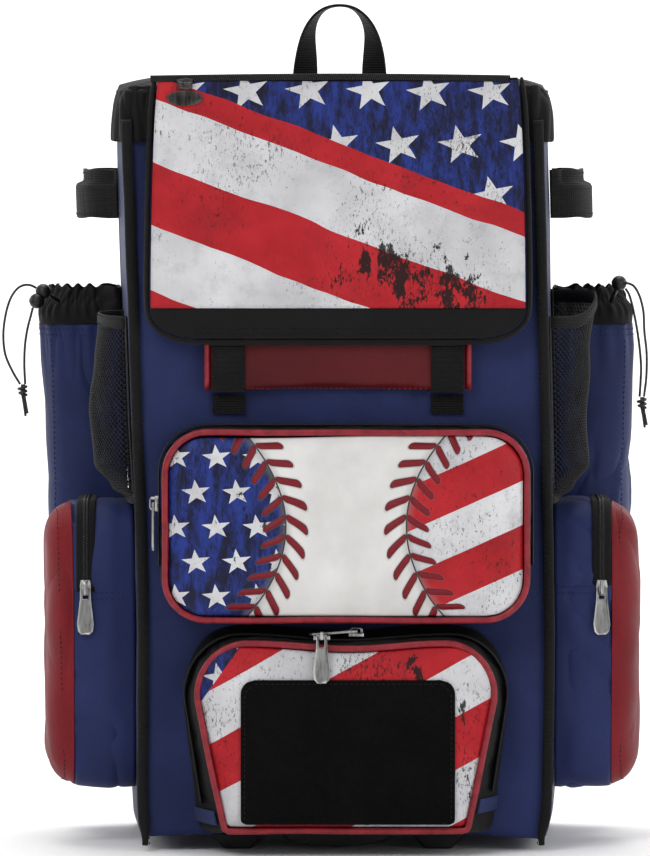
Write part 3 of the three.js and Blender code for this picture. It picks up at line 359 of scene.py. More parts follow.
def pile_cloth():
    r = Recipe("loop_pile")
    loops = r.add("ShaderNodeTexVoronoi", Vector=r.place, Scale=900.0, Randomness=1.0).outputs["Distance"]
    tufts = r.cloud(420, 5, roughness=0.7)
    color = r.mix(r.steps(tufts, 0.35, 0.8), shade(3, 3, 3), shade(13, 11, 12))
    color = r.mix(r.steps(r.cloud(30, 4), 0.4, 0.8, 0, 0.5), color, shade(17, 15, 16))
    height = r.plus(r.times(loops, -0.6), tufts)
    return r.finish(color, 0.95, r.relief(height, 0.9, 0.0008), sheen=0.06, specular=0.1)


def zinc(name, dark, light):
    r = Recipe(name)
    recess_shade = r.add("ShaderNodeAttribute", attribute_name="recess_shade").outputs["Fac"]
    brushed = r.cloud(90, 4, r.scaled(6, 6, 1))
    grain = r.cloud(1500, 3)
    color = r.mix(r.steps(brushed, 0.3, 0.75), dark, light)
    # painted shade: the sunk middle of a pull is painted darker
    color = r.mix(r.times(recess_shade, 0.5), color, tuple(v * 0.3 for v in dark[:3]) + (1,))
    color = r.mix(r.steps(grain, 0.55, 0.9, 0, 0.25), color, shade(96, 94, 92))
    rough = r.steps(brushed, 0.3, 0.7, 0.24, 0.42)
    return r.finish(color, rough, r.relief(brushed, 0.05, 0.0001), metallic=1.0)
# marks the sunk faces, where the zinc finish paints shade


def moulded(name, dark, light, roughness, grain_scale=1300):
    r = Recipe(name)
    grain = r.add("ShaderNodeTexVoronoi", Vector=r.place, Scale=float(grain_scale)).outputs["Distance"]
    scuffs = r.cloud(70, 6, roughness=0.7)
    color = r.mix(r.steps(scuffs, 0.45, 0.8), dark, light)
    normal = r.relief(grain, 0.3, 0.00015)
    return r.finish(color, r.steps(scuffs, 0.3, 0.8, roughness, roughness + 0.2), normal, specular=0.45)


def braid():
    r = Recipe("cord_braid")
    parts = r.axes(r.scaled(1250, 1250, 1250))
    one = r.sine(r.plus(parts[2], r.plus(parts[0], parts[1])))
    two = r.sine(r.minus(parts[2], r.plus(parts[0], parts[1])))
    height = r.math("MAXIMUM", one, two)
    # painted shade: the colour follows the braid's height, dark in the grooves between strands and light on
    # their crests
    color = r.mix(r.steps(height, -0.6, 1.0), shade(7, 6, 7), shade(40, 37, 38))
    return r.finish(color, 0.62, r.relief(height, 0.7, 0.00025), sheen=0.2)


def net_yarn():
    r = Recipe("net_yarn")
    color = r.mix(r.cloud(260, 3), shade(6, 6, 7), shade(24, 23, 26))
    return r.finish(color, 0.55, r.relief(r.cloud(1800, 2), 0.4, 0.0001), sheen=0.08, specular=0.3)


red_vinyl = vinyl_piping()
loop_pile = pile_cloth()
satin_zinc = zinc("satin_zinc", shade(150, 150, 149), shade(204, 204, 202))
gun_zinc = zinc("gun_zinc", shade(58, 57, 56), shade(104, 102, 100))
foot_plastic = moulded("foot_plastic", shade(10, 9, 10), shade(30, 28, 28), 0.55)
lock_plastic = moulded("lock_plastic", shade(9, 9, 10), shade(24, 23, 24), 0.34, 2200)
cord_braid = braid()
black_net = net_yarn()
print("trims ready")

# %% [markdown]
# The printed cloth carries a weathered stars-and-stripes pattern. It is all arithmetic on x and z: a slanted
# ruler gives the stripes, a folded angle gives a five-pointed star, and thresholds on noise give the worn
# specks. Noise also bends the ruler a little, which is why the stripes look painted and not drawn.

# %% Printed cloth
OFF_WHITE = shade(216, 216, 219)
STRIPE_RED = shade(160, 18, 28)
FIELD_BLUE = shade(30, 50, 128)
FIELD_DEEP = shade(13, 15, 46)
INK = shade(10, 8, 9)


def bent_place(r, amount, scale=14):
    """The x and z of a point, pushed about by a slow cloud so that printed edges wander."""
    parts = r.axes(r.place)
    push = r.times(r.minus(r.cloud(scale, 2), 0.5), amount)
    return r.plus(parts[0], push), r.plus(parts[2], push)


def slanted(r, x, z, angle):
    """How far a point lies across a set of stripes, and along them."""
    c, s = math.cos(angle), math.sin(angle)
    across = r.minus(r.times(z, c), r.times(x, s))
    along = r.plus(r.times(x, c), r.times(z, s))
    return across, along


def star_mask(r, x, z, pitch, size, tilt=0.2):
    """1 inside the stars of a staggered field. Within a star the edge runs straight from tip to notch."""
    row = r.math("FLOOR", r.over(z, pitch * 0.86))
    stagger = r.times(r.math("FLOORED_MODULO", row, 2.0), 0.5)
    u = r.minus(r.math("FRACT", r.plus(r.over(x, pitch), stagger)), 0.5)
    v = r.minus(r.math("FRACT", r.over(z, pitch * 0.86)), 0.5)
    radius = r.math("POWER", r.plus(r.times(u, u), r.times(v, v)), 0.5)
    angle = r.math("PINGPONG", r.plus(r.math("ARCTAN2", u, v), tilt), math.pi / 5)
    tip, notch, fifth = size / pitch / 2, size / pitch / 2 * 0.4, math.pi / 5
    below = r.plus(r.times(r.sine(angle), tip), r.times(r.sine(r.minus(fifth, angle)), notch))
    edge = r.over(tip * notch * math.sin(fifth), below)
    return r.math("LESS_THAN", radius, edge)


def weathered(r, color, heavy=0.5):
    """Specks, scratches and rubbed patches over a print."""
    where = r.cloud(10, 4, roughness=0.6)
    grit = r.cloud(540, 5, r.scaled(1, 1, 0.45), roughness=0.85)
    specks = r.math("GREATER_THAN", grit, r.steps(where, 0.36, 0.66, 0.665, 0.535))
    worn = r.plus(r.cloud(70, 8, r.scaled(1.3, 1.3, 0.6), roughness=0.74), r.times(r.minus(grit, 0.5), 0.3))
    patches = r.math("GREATER_THAN", worn, r.steps(r.cloud(7.5, 2), 0.48, 0.66, 0.8, 0.8 - heavy * 0.5))
    color = r.mix(r.times(specks, 0.82), color, INK)
    return r.mix(r.times(patches, 0.95), color, INK)


def painted_blue(r):
    streaks = r.cloud(30, 8, r.scaled(4, 4, 1.3), roughness=0.74)
    color = r.mix(r.steps(streaks, 0.42, 0.6), FIELD_DEEP, FIELD_BLUE)
    scraped = r.math("GREATER_THAN", r.cloud(260, 6, r.scaled(2, 2, 0.5), roughness=0.8),
                     r.steps(r.cloud(18, 3), 0.4, 0.65, 0.62, 0.5))
    return r.mix(r.times(scraped, 0.7), color, INK)


def painted_red(r):
    color = r.mix(r.steps(r.cloud(30, 5), 0.35, 0.75), STRIPE_RED, shade(182, 34, 42))
    return r.mix(r.steps(r.cloud(17, 7, roughness=0.7), 0.48, 0.78, 0.0, 0.55), color, shade(96, 14, 20))


def painted_white(r):
    color = r.mix(r.steps(r.cloud(16, 5), 0.3, 0.75), shade(178, 178, 181), OFF_WHITE)
    return r.mix(r.steps(r.cloud(48, 8, roughness=0.78), 0.5, 0.8, 0.0, 0.55), color, shade(132, 131, 134))


def print_surface(r, color):
    slow = r.relief(r.cloud(30, 3), 0.3, 0.001)
    return r.finish(color, 0.55, r.relief(r.weave(0.0006), 0.35, 0.00012, slow), sheen=0.03, specular=0.22)


def striped_print(name, angle, width, offset, field, star_pitch, star_size, heavy):
    """Stripes at a slant, with a starry field past a slanted edge: field is (angle, offset, side)."""
    r = Recipe(name)
    x, z = bent_place(r, 0.007)
    across, _ = slanted(r, x, z, angle)
    band = r.math("FLOORED_MODULO", r.plus(across, offset), 2 * width)
    color = r.mix(r.math("LESS_THAN", band, width), painted_red(r), painted_white(r))
    edge, _ = slanted(r, x, z, field[0])
    inside = r.math("GREATER_THAN" if field[2] > 0 else "LESS_THAN", edge, field[1])
    stars = star_mask(r, x, z, star_pitch, star_size)
    sky = r.mix(stars, painted_blue(r), painted_white(r))
    color = r.mix(inside, color, sky)
    return print_surface(r, weathered(r, color, heavy))


LACE_PITCH = 0.0150
LACE_HALF = 0.0026
SEAM_BOW = 6.2


def laced_print():
    """White grained hide between two laced seams, stars on one side of it and stripes on the other."""
    r = Recipe("laced_print")
    x, z = bent_place(r, 0.002)
    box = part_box("middle_pocket_front")
    middle_x, middle_z = (box[0].x + box[1].x) / 2, (box[0].z + box[1].z) / 2
    half = (box[1].x - box[0].x) / 2
    centred = r.minus(x, middle_x)
    height = r.minus(z, middle_z)
    seam_x = r.plus(r.times(r.times(height, height), SEAM_BOW), half * 0.34)
    lean = r.times(height, 2 * SEAM_BOW)
    lean_square = r.times(lean, lean)
    beside = r.minus(r.math("ABSOLUTE", centred), seam_x)
    away = r.over(beside, r.math("POWER", r.plus(lean_square, 1.0), 0.5))
    foot = r.plus(height, r.over(r.times(beside, lean), r.plus(lean_square, 1.0)))
    arc = r.times(foot, r.plus(r.times(lean_square, 1 / 6), 1.0))
    hide_grain = r.add("ShaderNodeTexVoronoi", Vector=r.place, Scale=520.0).outputs["Distance"]
    hide = r.mix(r.steps(r.cloud(22, 4), 0.3, 0.75), shade(198, 196, 194), shade(222, 221, 219))
    across, _ = slanted(r, x, z, 0.42)
    band = r.math("FLOORED_MODULO", r.plus(across, 0.011), 0.062)
    stripes = r.mix(r.math("LESS_THAN", band, 0.031), painted_red(r), painted_white(r))
    stars = star_mask(r, x, z, 0.031, 0.023, 0.1)
    sky = r.mix(stars, painted_blue(r), painted_white(r))
    outside = r.mix(r.math("GREATER_THAN", centred, 0.0), sky, stripes)
    outside = weathered(r, outside, 0.45)
    color = r.mix(r.math("GREATER_THAN", away, 0.0), hide, outside)
    near = r.math("ABSOLUTE", away)
    shadow = r.steps(near, 0.0, 0.006, 0.45, 0.0)
    color = r.mix(shadow, color, shade(120, 116, 116))
    ladder = r.math("FRACT", r.plus(r.over(arc, LACE_PITCH), r.times(near, 42.0)))
    off = r.times(r.math("ABSOLUTE", r.minus(ladder, 0.5)), LACE_PITCH * 0.86)
    past = r.math("MAXIMUM", r.minus(r.math("ABSOLUTE", r.minus(near, 0.0088)), 0.0058), 0.0)
    from_lace = r.math("POWER", r.plus(r.times(past, past), r.times(off, off)), 0.5)
    lace = r.math("LESS_THAN", from_lace, LACE_HALF)
    edge = r.minus(LACE_HALF, from_lace)
    # painted shadow: the lace casts a darker band on the hide and print just beside it
    cast = r.steps(r.minus(from_lace, LACE_HALF), 0.0, 0.0012, 0.5, 0.0)
    color = r.mix(cast, color, shade(86, 80, 82))
    twist = r.cloud(420, 3, r.scaled(1, 1, 3))
    yarn = r.mix(twist, shade(86, 12, 22), shade(142, 24, 36))
    # painted shade: the yarn is painted darker along its edges, where it rounds away
    yarn = r.mix(r.steps(edge, 0.0, 0.0011, 0.6, 0.0), yarn, shade(48, 6, 12))
    color = r.mix(lace, color, yarn)
    color = r.mix(r.math("LESS_THAN", near, 0.0006), color, shade(60, 54, 54))
    puff = r.steps(edge, 0.0, LACE_HALF)
    normal = r.relief(r.times(lace, puff), 0.8, 0.0014, r.relief(hide_grain, 0.35, 0.0002))
    return r.finish(color, 0.5, normal, specular=0.25)


flap_stripes = striped_print("flap_stripes", -0.36, 0.046, 0.012, (-0.36, 0.512, 1), 0.047, 0.036, 0.62)
lower_stripes = striped_print("lower_stripes", 0.5, 0.036, 0.02, (0.95, 0.155, 1), 0.036, 0.027, 0.5)
laced_hide = laced_print()
print("prints ready")

# %% [markdown]
# Every cloth piece of the bag is made in the same four steps. The construction's own surface is copied, its
# doubled points are merged and its triangle pairs become quads again. Rims that turn sharply are creased, so
# that Subdivision Surface rounds the cloth and keeps its edges. Then the points are dense enough to carry
# folds, which are pushed in as a sum of slow waves. Last comes the finish.

# %% Copying, refining and folding
pieces = {}


def settle(name, mesh, body, slot, finish, *replaced):
    """Links a finished mesh as a piece of the bag."""
    piece = bpy.data.objects.new(name, mesh)
    scene.collection.objects.link(piece)
    mesh.materials.clear()
    mesh.materials.append(finish)
    mesh.shade_smooth()
    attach(piece, body)
    if replaced:
        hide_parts(*replaced)
    pieces[name] = piece
    return piece


def body_of(node):
    return nodes[node]["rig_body"]


def slot_of(node):
    return next(row["material_slot"] for row in frame["record"]["subparts"] if row["node"] == node)


def as_mesh(work, name):
    mesh = bpy.data.meshes.new(name)
    work.to_mesh(mesh)
    work.free()
    return mesh


def absorb(work, mesh):
    work.from_mesh(mesh)
    bpy.data.meshes.remove(mesh)


def through(mesh, *modifiers):
    """Plain mesh data of a mesh after modifiers, each a pair of its kind and its settings."""
    holder = bpy.data.objects.new("holder", mesh)
    scene.collection.objects.link(holder)
    for kind, settings in modifiers:
        modifier = holder.modifiers.new(kind.lower(), kind)
        for key, value in settings.items():
            setattr(modifier, key, value)
    whole = bpy.data.meshes.new_from_object(holder.evaluated_get(bpy.context.evaluated_depsgraph_get()))
    bpy.data.objects.remove(holder)
    bpy.data.meshes.remove(mesh)
    return whole


def merged(node):
    """A copy of a node's surface with its doubled points merged."""
    shell = bmesh.new()
    shell.from_mesh(nodes[node].data)
    bmesh.ops.remove_doubles(shell, verts=shell.verts, dist=0.00001)
    return shell


def quads_of(node):
    """The same with its triangle pairs joined into quads."""
    shell = merged(node)
    bmesh.ops.join_triangles(shell, faces=shell.faces, cmp_seam=False, cmp_sharp=False, cmp_uvs=False,
                             cmp_vcols=False, cmp_materials=False, angle_face_threshold=math.radians(50),
                             angle_shape_threshold=math.radians(60))
    return shell


def refined(shell, levels, crease_above=50, rim=0.0):
    """Creases the sharp rims, subdivides, and gives back plain dense mesh data."""
    sharp = shell.edges.layers.float.new("crease_edge")
    for edge in shell.edges:
        if len(edge.link_faces) == 2 and edge.calc_face_angle(0) > math.radians(crease_above):
            edge[sharp] = 1.0
    steps = [("SUBSURF", {"levels": levels, "render_levels": levels})]
    if rim:
        steps.append(("BEVEL", {"width": rim, "segments": 2, "limit_method": "ANGLE",
                                "angle_limit": math.radians(55)}))
    return through(as_mesh(shell, "rough"), *steps)


def fold(mesh, push):
    """Moves each point by what push says of its place and normal."""
    normals = [v.normal.copy() for v in mesh.vertices]
    for vert, normal in zip(mesh.vertices, normals):
        vert.co += push(vert.co.copy(), normal)
    mesh.update()
    return mesh


def between(value, low, high):
    """0 below low, 1 above high, and a soft step in the middle."""
    share = min(1.0, max(0.0, (value - low) / (high - low)))
    return share * share * (3 - 2 * share)


def waves(place, sizes, seed):
    """A sum of slow clouds: sizes holds pairs of a scale in 1/m and a height in metres."""
    shift = Vector((seed * 1.7, seed * 3.1, seed * 0.9))
    return sum(height * noise.noise(place * scale + shift) for scale, height in sizes)


def creases(place, angle, spacing, depth, seed, length=9.0):
    """Long shallow furrows that run at an angle across a hanging panel, sharper below than above."""
    c, s = math.cos(angle), math.sin(angle)
    across = place.x * c + place.z * s
    along = place.z * c - place.x * s
    wander = noise.noise(Vector((along * length, seed, across * 3))) * spacing * 1.6
    ridge = 1 - abs(math.sin((across + wander) * math.pi / spacing))
    strength = between(noise.noise(Vector((across * 11, along * 5, seed * 2.3))), 0.02, 0.38)
    return -depth * ridge ** 3 * strength


def cloth_piece(node, finish, levels=2, push=None, rim=0.0, crease_above=50, name=None):
    mesh = refined(quads_of(node), levels, crease_above, rim)
    if push is not None:
        fold(mesh, push)
    return settle(name or f"{node}_cloth", mesh, body_of(node), slot_of(node), finish, node)


print("helpers ready")

# %% [markdown]
# Stitches are what tells sewn cloth from moulded plastic. One stitch is a thread that dives at both ends, so
# a small ball of 24 faces stretched along the seam is enough, and a seam is many of them joined in one mesh.
# The path is cut into equal steps first, which keeps the stitches as even as a machine makes them.

# %% Seams of stitches
STITCH_LONG = 0.0027
STITCH_THICK = 0.00042


def even_steps(path, step, loop=False):
    """Points at equal distances along a line of points, each with the direction there."""
    line = [Vector(p) for p in path] + ([Vector(path[0])] if loop else [])
    spots, carried = [], step / 2
    for start, end in zip(line, line[1:]):
        length = (end - start).length
        while length > 0 and carried <= length:
            spots.append((start.lerp(end, carried / length), (end - start).normalized()))
            carried += step
        carried -= length
    return spots


def beads(name, placings):
    """One small ball copied to many places in one mesh; a placing is a 4x4 matrix."""
    unit = bmesh.new()
    bmesh.ops.create_uvsphere(unit, u_segments=6, v_segments=4, radius=1)
    corners = [vert.co.copy() for vert in unit.verts]
    faces = [[vert.index for vert in face.verts] for face in unit.faces]
    unit.free()
    mesh = bpy.data.meshes.new(name)
    mesh.from_pydata([place @ corner for place in placings for corner in corners], [],
                     [[k * len(corners) + v for v in face] for k in range(len(placings)) for face in faces])
    return mesh


def seam(name, paths, body, slot, thread, out, long=STITCH_LONG, thick=STITCH_THICK, space=1.5, loop=False):
    """Stitches along each path; out is the way the cloth faces there."""
    placings = []
    for path in paths:
        for spot, along in even_steps(path, long * space, loop):
            facing = Vector(out(spot) if callable(out) else out).normalized()
            side = along.cross(facing).normalized()
            turn = Matrix((along, side, facing)).transposed().to_4x4()
            size = Matrix.Diagonal((long / 2, thick, thick * 0.8, 1))
            placings.append(Matrix.Translation(spot) @ turn @ size)
    print(name, len(placings), "stitches")
    return settle(name, beads(name, placings), body, slot, thread)


# %% [markdown]
# Pipings, bindings, cords and hems are all tubes along a path. A ring from create_circle is extruded from
# step to step and each new ring is put at right angles to the path, and bridge_loops closes a loop. The
# ring may be flat or round, and a small dent each few millimetres shows where thread pulls a piping in.

# %% Tubes along a path
def rounded_path(corners, arc=8):
    """A closed path in a plane with rounded corners; a corner is (x, y, z, radius)."""
    path = []
    for k, (x, y, z, radius) in enumerate(corners):
        here = Vector((x, y, z))
        back = (Vector(corners[k - 1][:3]) - here).normalized()
        ahead = (Vector(corners[(k + 1) % len(corners)][:3]) - here).normalized()
        half = math.acos(max(-1, min(1, back.dot(ahead)))) / 2
        start, end = here + back * radius / math.tan(half), here + ahead * radius / math.tan(half)
        centre = here + (back + ahead).normalized() * radius / math.sin(half)
        for step in range(arc + 1):
            share = start.lerp(end, step / arc) - centre
            path.append(centre + share.normalized() * radius)
    return path


def smooth_line(points, per_span=6):
    """A Catmull-Rom line through the points."""
    ends = [Vector(points[0]) * 2 - Vector(points[1])] + [Vector(p) for p in points]
    ends.append(Vector(points[-1]) * 2 - Vector(points[-2]))
    line = []
    for a, b, c, d in zip(ends, ends[1:], ends[2:], ends[3:]):
        for step in range(per_span):
            t = step / per_span
            line.append(0.5 * (2 * b + (c - a) * t + (2 * a - 5 * b + 4 * c - d) * t * t
                               + (3 * b - a - 3 * c + d) * t ** 3))
    return line + [Vector(points[-1])]


def tube_mesh(name, path, wide, deep, facing, loop=False, sides=10, dent=0.0, flare=None):
    """A tube whose section is wide by deep; facing is the way that deep is measured."""
    work = bmesh.new()
    ring_geometry = []
    count = len(path)
    for k, spot in enumerate(path):
        ahead = path[(k + 1) % count] if loop or k < count - 1 else path[k]
        behind = path[k - 1] if loop or k > 0 else path[k]
        along = (Vector(ahead) - Vector(behind)).normalized()
        face = Vector(facing(spot) if callable(facing) else facing)
        side = along.cross(face).normalized()
        face = side.cross(along).normalized()
        pinch = 1 - dent * (k % 2)
        grow = flare(k / (count - 1)) if flare else 1.0
        scale = Matrix.Diagonal((wide / 2 * pinch * grow, deep / 2 * pinch * grow, 1, 1))
        turn = Matrix((side, face, along)).transposed().to_4x4()
        made = bmesh.ops.create_circle(work, cap_ends=False, radius=1, segments=sides,
                                       matrix=Matrix.Translation(spot) @ turn @ scale)
        ring_geometry.append(list({e for v in made["verts"] for e in v.link_edges}))
    pairs = list(zip(ring_geometry, ring_geometry[1:]))
    if loop:
        pairs.append((ring_geometry[-1], ring_geometry[0]))
    for one, two in pairs:
        bmesh.ops.bridge_loops(work, edges=one + two)
    if not loop:
        bmesh.ops.holes_fill(work, edges=work.edges, sides=sides)
    bmesh.ops.recalc_face_normals(work, faces=work.faces)
    return as_mesh(work, name)


print("tubes ready")

# %% [markdown]
# The cords come first, since their length is a fact and not a matter of looks. Each side has a loop of 2 mm
# elastic cord: it leaves the barrel lock at the sleeve's neck, hangs in a narrow bow and ends in one knot.
# The route's points are the same ones that the construction has, and the knot is a cord end wound twice.

# %% Cords, locks and knots
CORD_DIAMETER = 0.002
CORD_ROUTES = {
    "cord_left_outer": [
        (-237.1, 26.9, 431.3), (-241.4, 25.2, 433.4), (-247, 23.6, 433.4), (-252.4, 22, 430), (-257.4, 21, 422),
        (-261, 20, 409), (-262.6, 20, 394), (-261, 20, 379), (-255.5, 20.5, 366), (-249.5, 21, 355.8)],
    "cord_left_inner": [
        (-239.7, 28.3, 415.7), (-241.2, 28, 409.6), (-243.9, 26.6, 399), (-245.8, 25, 386), (-246.3, 24, 371),
        (-245.6, 23, 355.7)],
    "cord_right_outer": [
        (226.8, 24.6, 435.4), (232.5, 23, 432.8), (237, 22, 425), (240, 21, 413), (240.8, 20, 397),
        (242.6, 20, 380), (242.4, 20, 362), (240.6, 20.5, 346)],
    "cord_right_inner": [
        (226.2, 28.6, 430.8), (229.8, 28.4, 424), (233.6, 27.4, 408), (236.6, 26.5, 390), (238.4, 25.5, 371),
        (238, 24, 357), (237.2, 22.4, 345.9)],
}
KNOT_PLACES = {"left": (-247.6, 22, 350.6), "right": (239, 21.4, 340.6)}
KNOT_TAIL = {"left": 0.015, "right": 0.014}


def knot_mesh(name, centre, tail):
    """Two turns of cord round the pair, and a doubled tail that leans outwards."""
    turns, radius, rise = 2.1, 0.0029, 0.0046
    winding = []
    for k in range(40):
        angle = turns * math.tau * k / 39
        swell = radius * (1 + 0.12 * math.sin(angle * 1.5))
        winding.append(centre + Vector((swell * math.cos(angle), swell * math.sin(angle),
                                        rise * (k / 39 - 0.5) * 1.5)))
    work = bmesh.new()
    absorb(work, tube_mesh(name, winding, CORD_DIAMETER * 1.05, CORD_DIAMETER * 1.05, (0, 0.1, 1), sides=8))
    for lean, foot in ((-0.0004, 1.0), (0.0011, 0.86)):
        line = smooth_line([centre + Vector((lean, 0, 0.005)), centre + Vector((lean, 0.0006, -0.002)),
                            centre + Vector((lean + 0.0015, 0, -0.005 - tail * 0.4)),
                            centre + Vector((lean + 0.0027, 0, -0.005 - tail * foot))], 4)
        absorb(work, tube_mesh(name, line, CORD_DIAMETER, CORD_DIAMETER, (0, 1, 0), sides=8))
    return as_mesh(work, name)


def lock_mesh(name, balls, stem):
    """A barrel lock: round lobes with a pressed ring, joined by a short neck to the gathered cloth."""
    work = bmesh.new()
    for (x, y, z), radius in balls:
        place = Matrix.Translation(Vector((x, y, z)) * MM)
        bmesh.ops.create_uvsphere(work, u_segments=28, v_segments=18, radius=radius * MM, matrix=place)
        tilt = place @ Matrix.Rotation(0.5, 4, "X")
        ring = bmesh.ops.create_circle(work, cap_ends=False, radius=radius * MM * 0.985, segments=28,
                                       matrix=tilt)
        band = list({e for v in ring["verts"] for e in v.link_edges})
        lifted = bmesh.ops.extrude_edge_only(work, edges=band)["geom"]
        bmesh.ops.translate(work, verts=[v for v in lifted if isinstance(v, bmesh.types.BMVert)],
                            vec=tilt.to_3x3() @ Vector((0, 0, 0.0011)))
        loops = [e for e in lifted if isinstance(e, bmesh.types.BMEdge)]
        out = bmesh.ops.extrude_edge_only(work, edges=band + loops)["geom"]
        for vert in (v for v in out if isinstance(v, bmesh.types.BMVert)):
            away = vert.co - place.translation
            vert.co = place.translation + away * 1.035
    start, end, radius = stem
    absorb(work, tube_mesh(name, [Vector(start) * MM, (Vector(start) + Vector(end)) / 2 * MM, Vector(end) * MM],
                           radius * 2 * MM, radius * 2 * MM, (0, 0, 1), sides=12))
    return as_mesh(work, name)


LOCK_LOBES = {
    "left": ([((-231.5, 29, 428.5), 6), ((-236.5, 26, 421), 6)],
             ((-231.5, 29, 428.5), (-219.6, 41.3, 420.4), 1.5)),
    "right": ([((221.2, 28, 435), 6)], ((221.2, 28, 435), (215.2, 40, 419.7), 1.7)),
}
for side, (x, y, z) in KNOT_PLACES.items():
    knot = knot_mesh("knot", Vector((x, y, z)) * MM, KNOT_TAIL[side])
    settle(f"cord_knot_{side}_wound", knot, "bag", "cord", cord_braid, f"cord_knot_{side}")
    balls, stem = LOCK_LOBES[side]
    settle(f"cord_lock_{side}_barrel", lock_mesh("lock", balls, stem), "bag", "lock_plastic", lock_plastic,
           f"cord_lock_{side}")

for name, route in CORD_ROUTES.items():
    line = smooth_line([Vector(p) * MM for p in route], 5)
    mesh = tube_mesh(f"{name}_braid", line, CORD_DIAMETER, CORD_DIAMETER, (0, 1, 0), sides=10)
    strand = settle(f"{name}_braid", mesh, "bag", "cord", cord_braid, name)
    side = "left" if "left" in name else "right"

# %% [markdown]
# The body is one tall box of cloth that stands by its seams. Its front is pulled in beside the pockets and
# under the flap, so the folds there run slanted and shallow, and they only ever go inwards: what is sewn on
# the front has to stay on top of it. The side walls get slower waves.

# %% Body
FRONT_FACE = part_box("body_shell")[0].y
BODY_HALF = 0.150


def body_folds(place, normal):
    near_front = 1 - between(place.y, FRONT_FACE + 0.004, FRONT_FACE + 0.014)
    edge = between(BODY_HALF - abs(place.x), -0.004, 0.022)
    low = between(place.z, 0.016, 0.04)
    deep = waves(place, ((8, 0.0022), (19, 0.0012)), 1) - 0.0006
    deep += creases(place, 0.9, 0.062, 0.0044, 4) + creases(place, -0.7, 0.075, 0.0038, 9)
    forward = min(deep, 0.0003) * near_front * edge * low
    side = between(abs(place.x), BODY_HALF - 0.002, BODY_HALF + 0.006) * (1 - near_front)
    inward = min(waves(place, ((7, 0.0024), (16, 0.0012)), 3), 0.0002) * side * low
    back = between(place.y, 0.112, 0.126)
    hollow = min(waves(place, ((6, 0.0030), (14, 0.0012)), 5), 0.0002) * back * low * edge
    return Vector((math.copysign(1, place.x) * inward, -forward + hollow, 0))


cloth_piece("body_shell", blue_cloth, 3, body_folds)


def ring_middles(node):
    """The middle of each level of a tube that stands up, from the ground to its top."""
    levels = {}
    for vert in nodes[node].data.vertices:
        levels.setdefault(round(vert.co.z, 4), []).append(vert.co)
    return [sum(spots, Vector()) / len(spots) for z, spots in sorted(levels.items())]


def binding_tip(share):
    """A binding is pinched at its foot and slips flat under the lid at its top."""
    return (0.55 + 0.45 * between(share, 0.0, 0.035)) * (1 - 0.55 * between(share, 0.972, 1.0))


for side in SIDES:
    line = [spot for spot, _ in even_steps(smooth_line(ring_middles(f"body_piping_{side}"), 8), 0.004)]
    line = [p + Vector((0.0006 * noise.noise(p * 21), 0, 0)) for p in line]
    settle(f"body_binding_{side}", tube_mesh("body_binding", line, 0.0086, 0.0056, FORWARD, sides=14,
           dent=0.015, flare=binding_tip), "bag", "black_binding", binding_cloth, f"body_piping_{side}")
    seam(f"body_binding_stitches_{side}", [[p + Vector((-SIDES[side] * 0.0032, -0.0018, 0)) for p in line]],
         "bag", "black_binding", dark_thread, FORWARD)

# %% [markdown]
# The lid is a cap of black cloth. At its two front corners the extra cloth is taken up in upright pleats,
# which is why they stand out as dark ridges in the picture. The pleats are a wave that runs round the corner
# and dies out towards the top and towards the back.

# %% Lid
HOOD_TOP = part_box("lid_hood")[1].z
PLEAT_PITCH = 0.0105
PLEAT_HIGH = 0.0013


def hood_pleats(place, normal):
    corner = between(abs(place.x), 0.128, 0.150) * (1 - between(place.y, -0.04, 0.06))
    round_it = place.x if place.y < FRONT_FACE + 0.01 else place.y
    ridge = math.sin(round_it * math.tau / PLEAT_PITCH + 2.2 * noise.noise(place * 18))
    height = 1 - between(place.z, HOOD_TOP - 0.013, HOOD_TOP)
    slow = waves(place, ((16, 0.0016), (40, 0.0007)), 7) * (0.5 + 0.5 * corner)
    push = PLEAT_HIGH * ridge * corner * height + slow
    flat = Vector((normal.x, normal.y, normal.z * 0.6))
    keep = 1 if place.y > FRONT_FACE + 0.004 or abs(place.x) > 0.140 else 0.15
    return flat * push * keep


cloth_piece("lid_hood", black_cloth, 4, hood_pleats)

# %% [markdown]
# The flap hangs from the lid and is thicker than the rest, since it has foam in it. Panel, print and binding
# share one set of folds, worked out from x and z alone, so that they move together and never cross.

# %% Flap
flap_low, flap_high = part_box("flap_panel")
FLAP_WIDE = 0.30
HEM_HALF = 0.112


def flap_folds(place, normal):
    up = (place.z - flap_low.z) / (flap_high.z - flap_low.z)
    free = between(1 - up, 0.12, 0.4)
    swell = waves(Vector((place.x, 0, place.z)), ((6, 0.0036), (15, 0.0014)), 11)
    crease = creases(Vector((place.x, 0, place.z)), 1.1, 0.085, 0.0022, 13)
    top_sag = -0.0016 * math.cos(place.x * math.pi / FLAP_WIDE) * between(up, 0.85, 1.0)
    return Vector((0, -(swell + crease) * free * between(up, -0.02, 0.16), top_sag))


cloth_piece("flap_panel", black_cloth, 3, flap_folds, rim=0.0008)


def print_folds(place, normal):
    """The print runs on up to the flap's upper edge, under the zip."""
    up = (place.z - print_low.z) / (print_high.z - print_low.z)
    return flap_folds(place, normal) + Vector((0, 0, 0.0042 * between(up, 0.9, 1.0)))


print_low, print_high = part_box("flap_print")
cloth_piece("flap_print", flap_stripes, 3, print_folds)
cloth_piece("flap_binding", binding_cloth, 2, flap_folds, crease_above=170)


def on_piece(name, x, z, lift=0.0004):
    """The point of a piece's front that is seen at x and z from straight ahead."""
    piece = pieces[name]
    hit, place, _, _ = piece.ray_cast(Vector((x, -1.0, z)), Vector((0, 1, 0)))
    return place + Vector((0, -lift, 0)) if hit else None


def run_on(name, line, lift=0.0004):
    return [p for p in (on_piece(name, x, z, lift) for x, z in line) if p is not None]


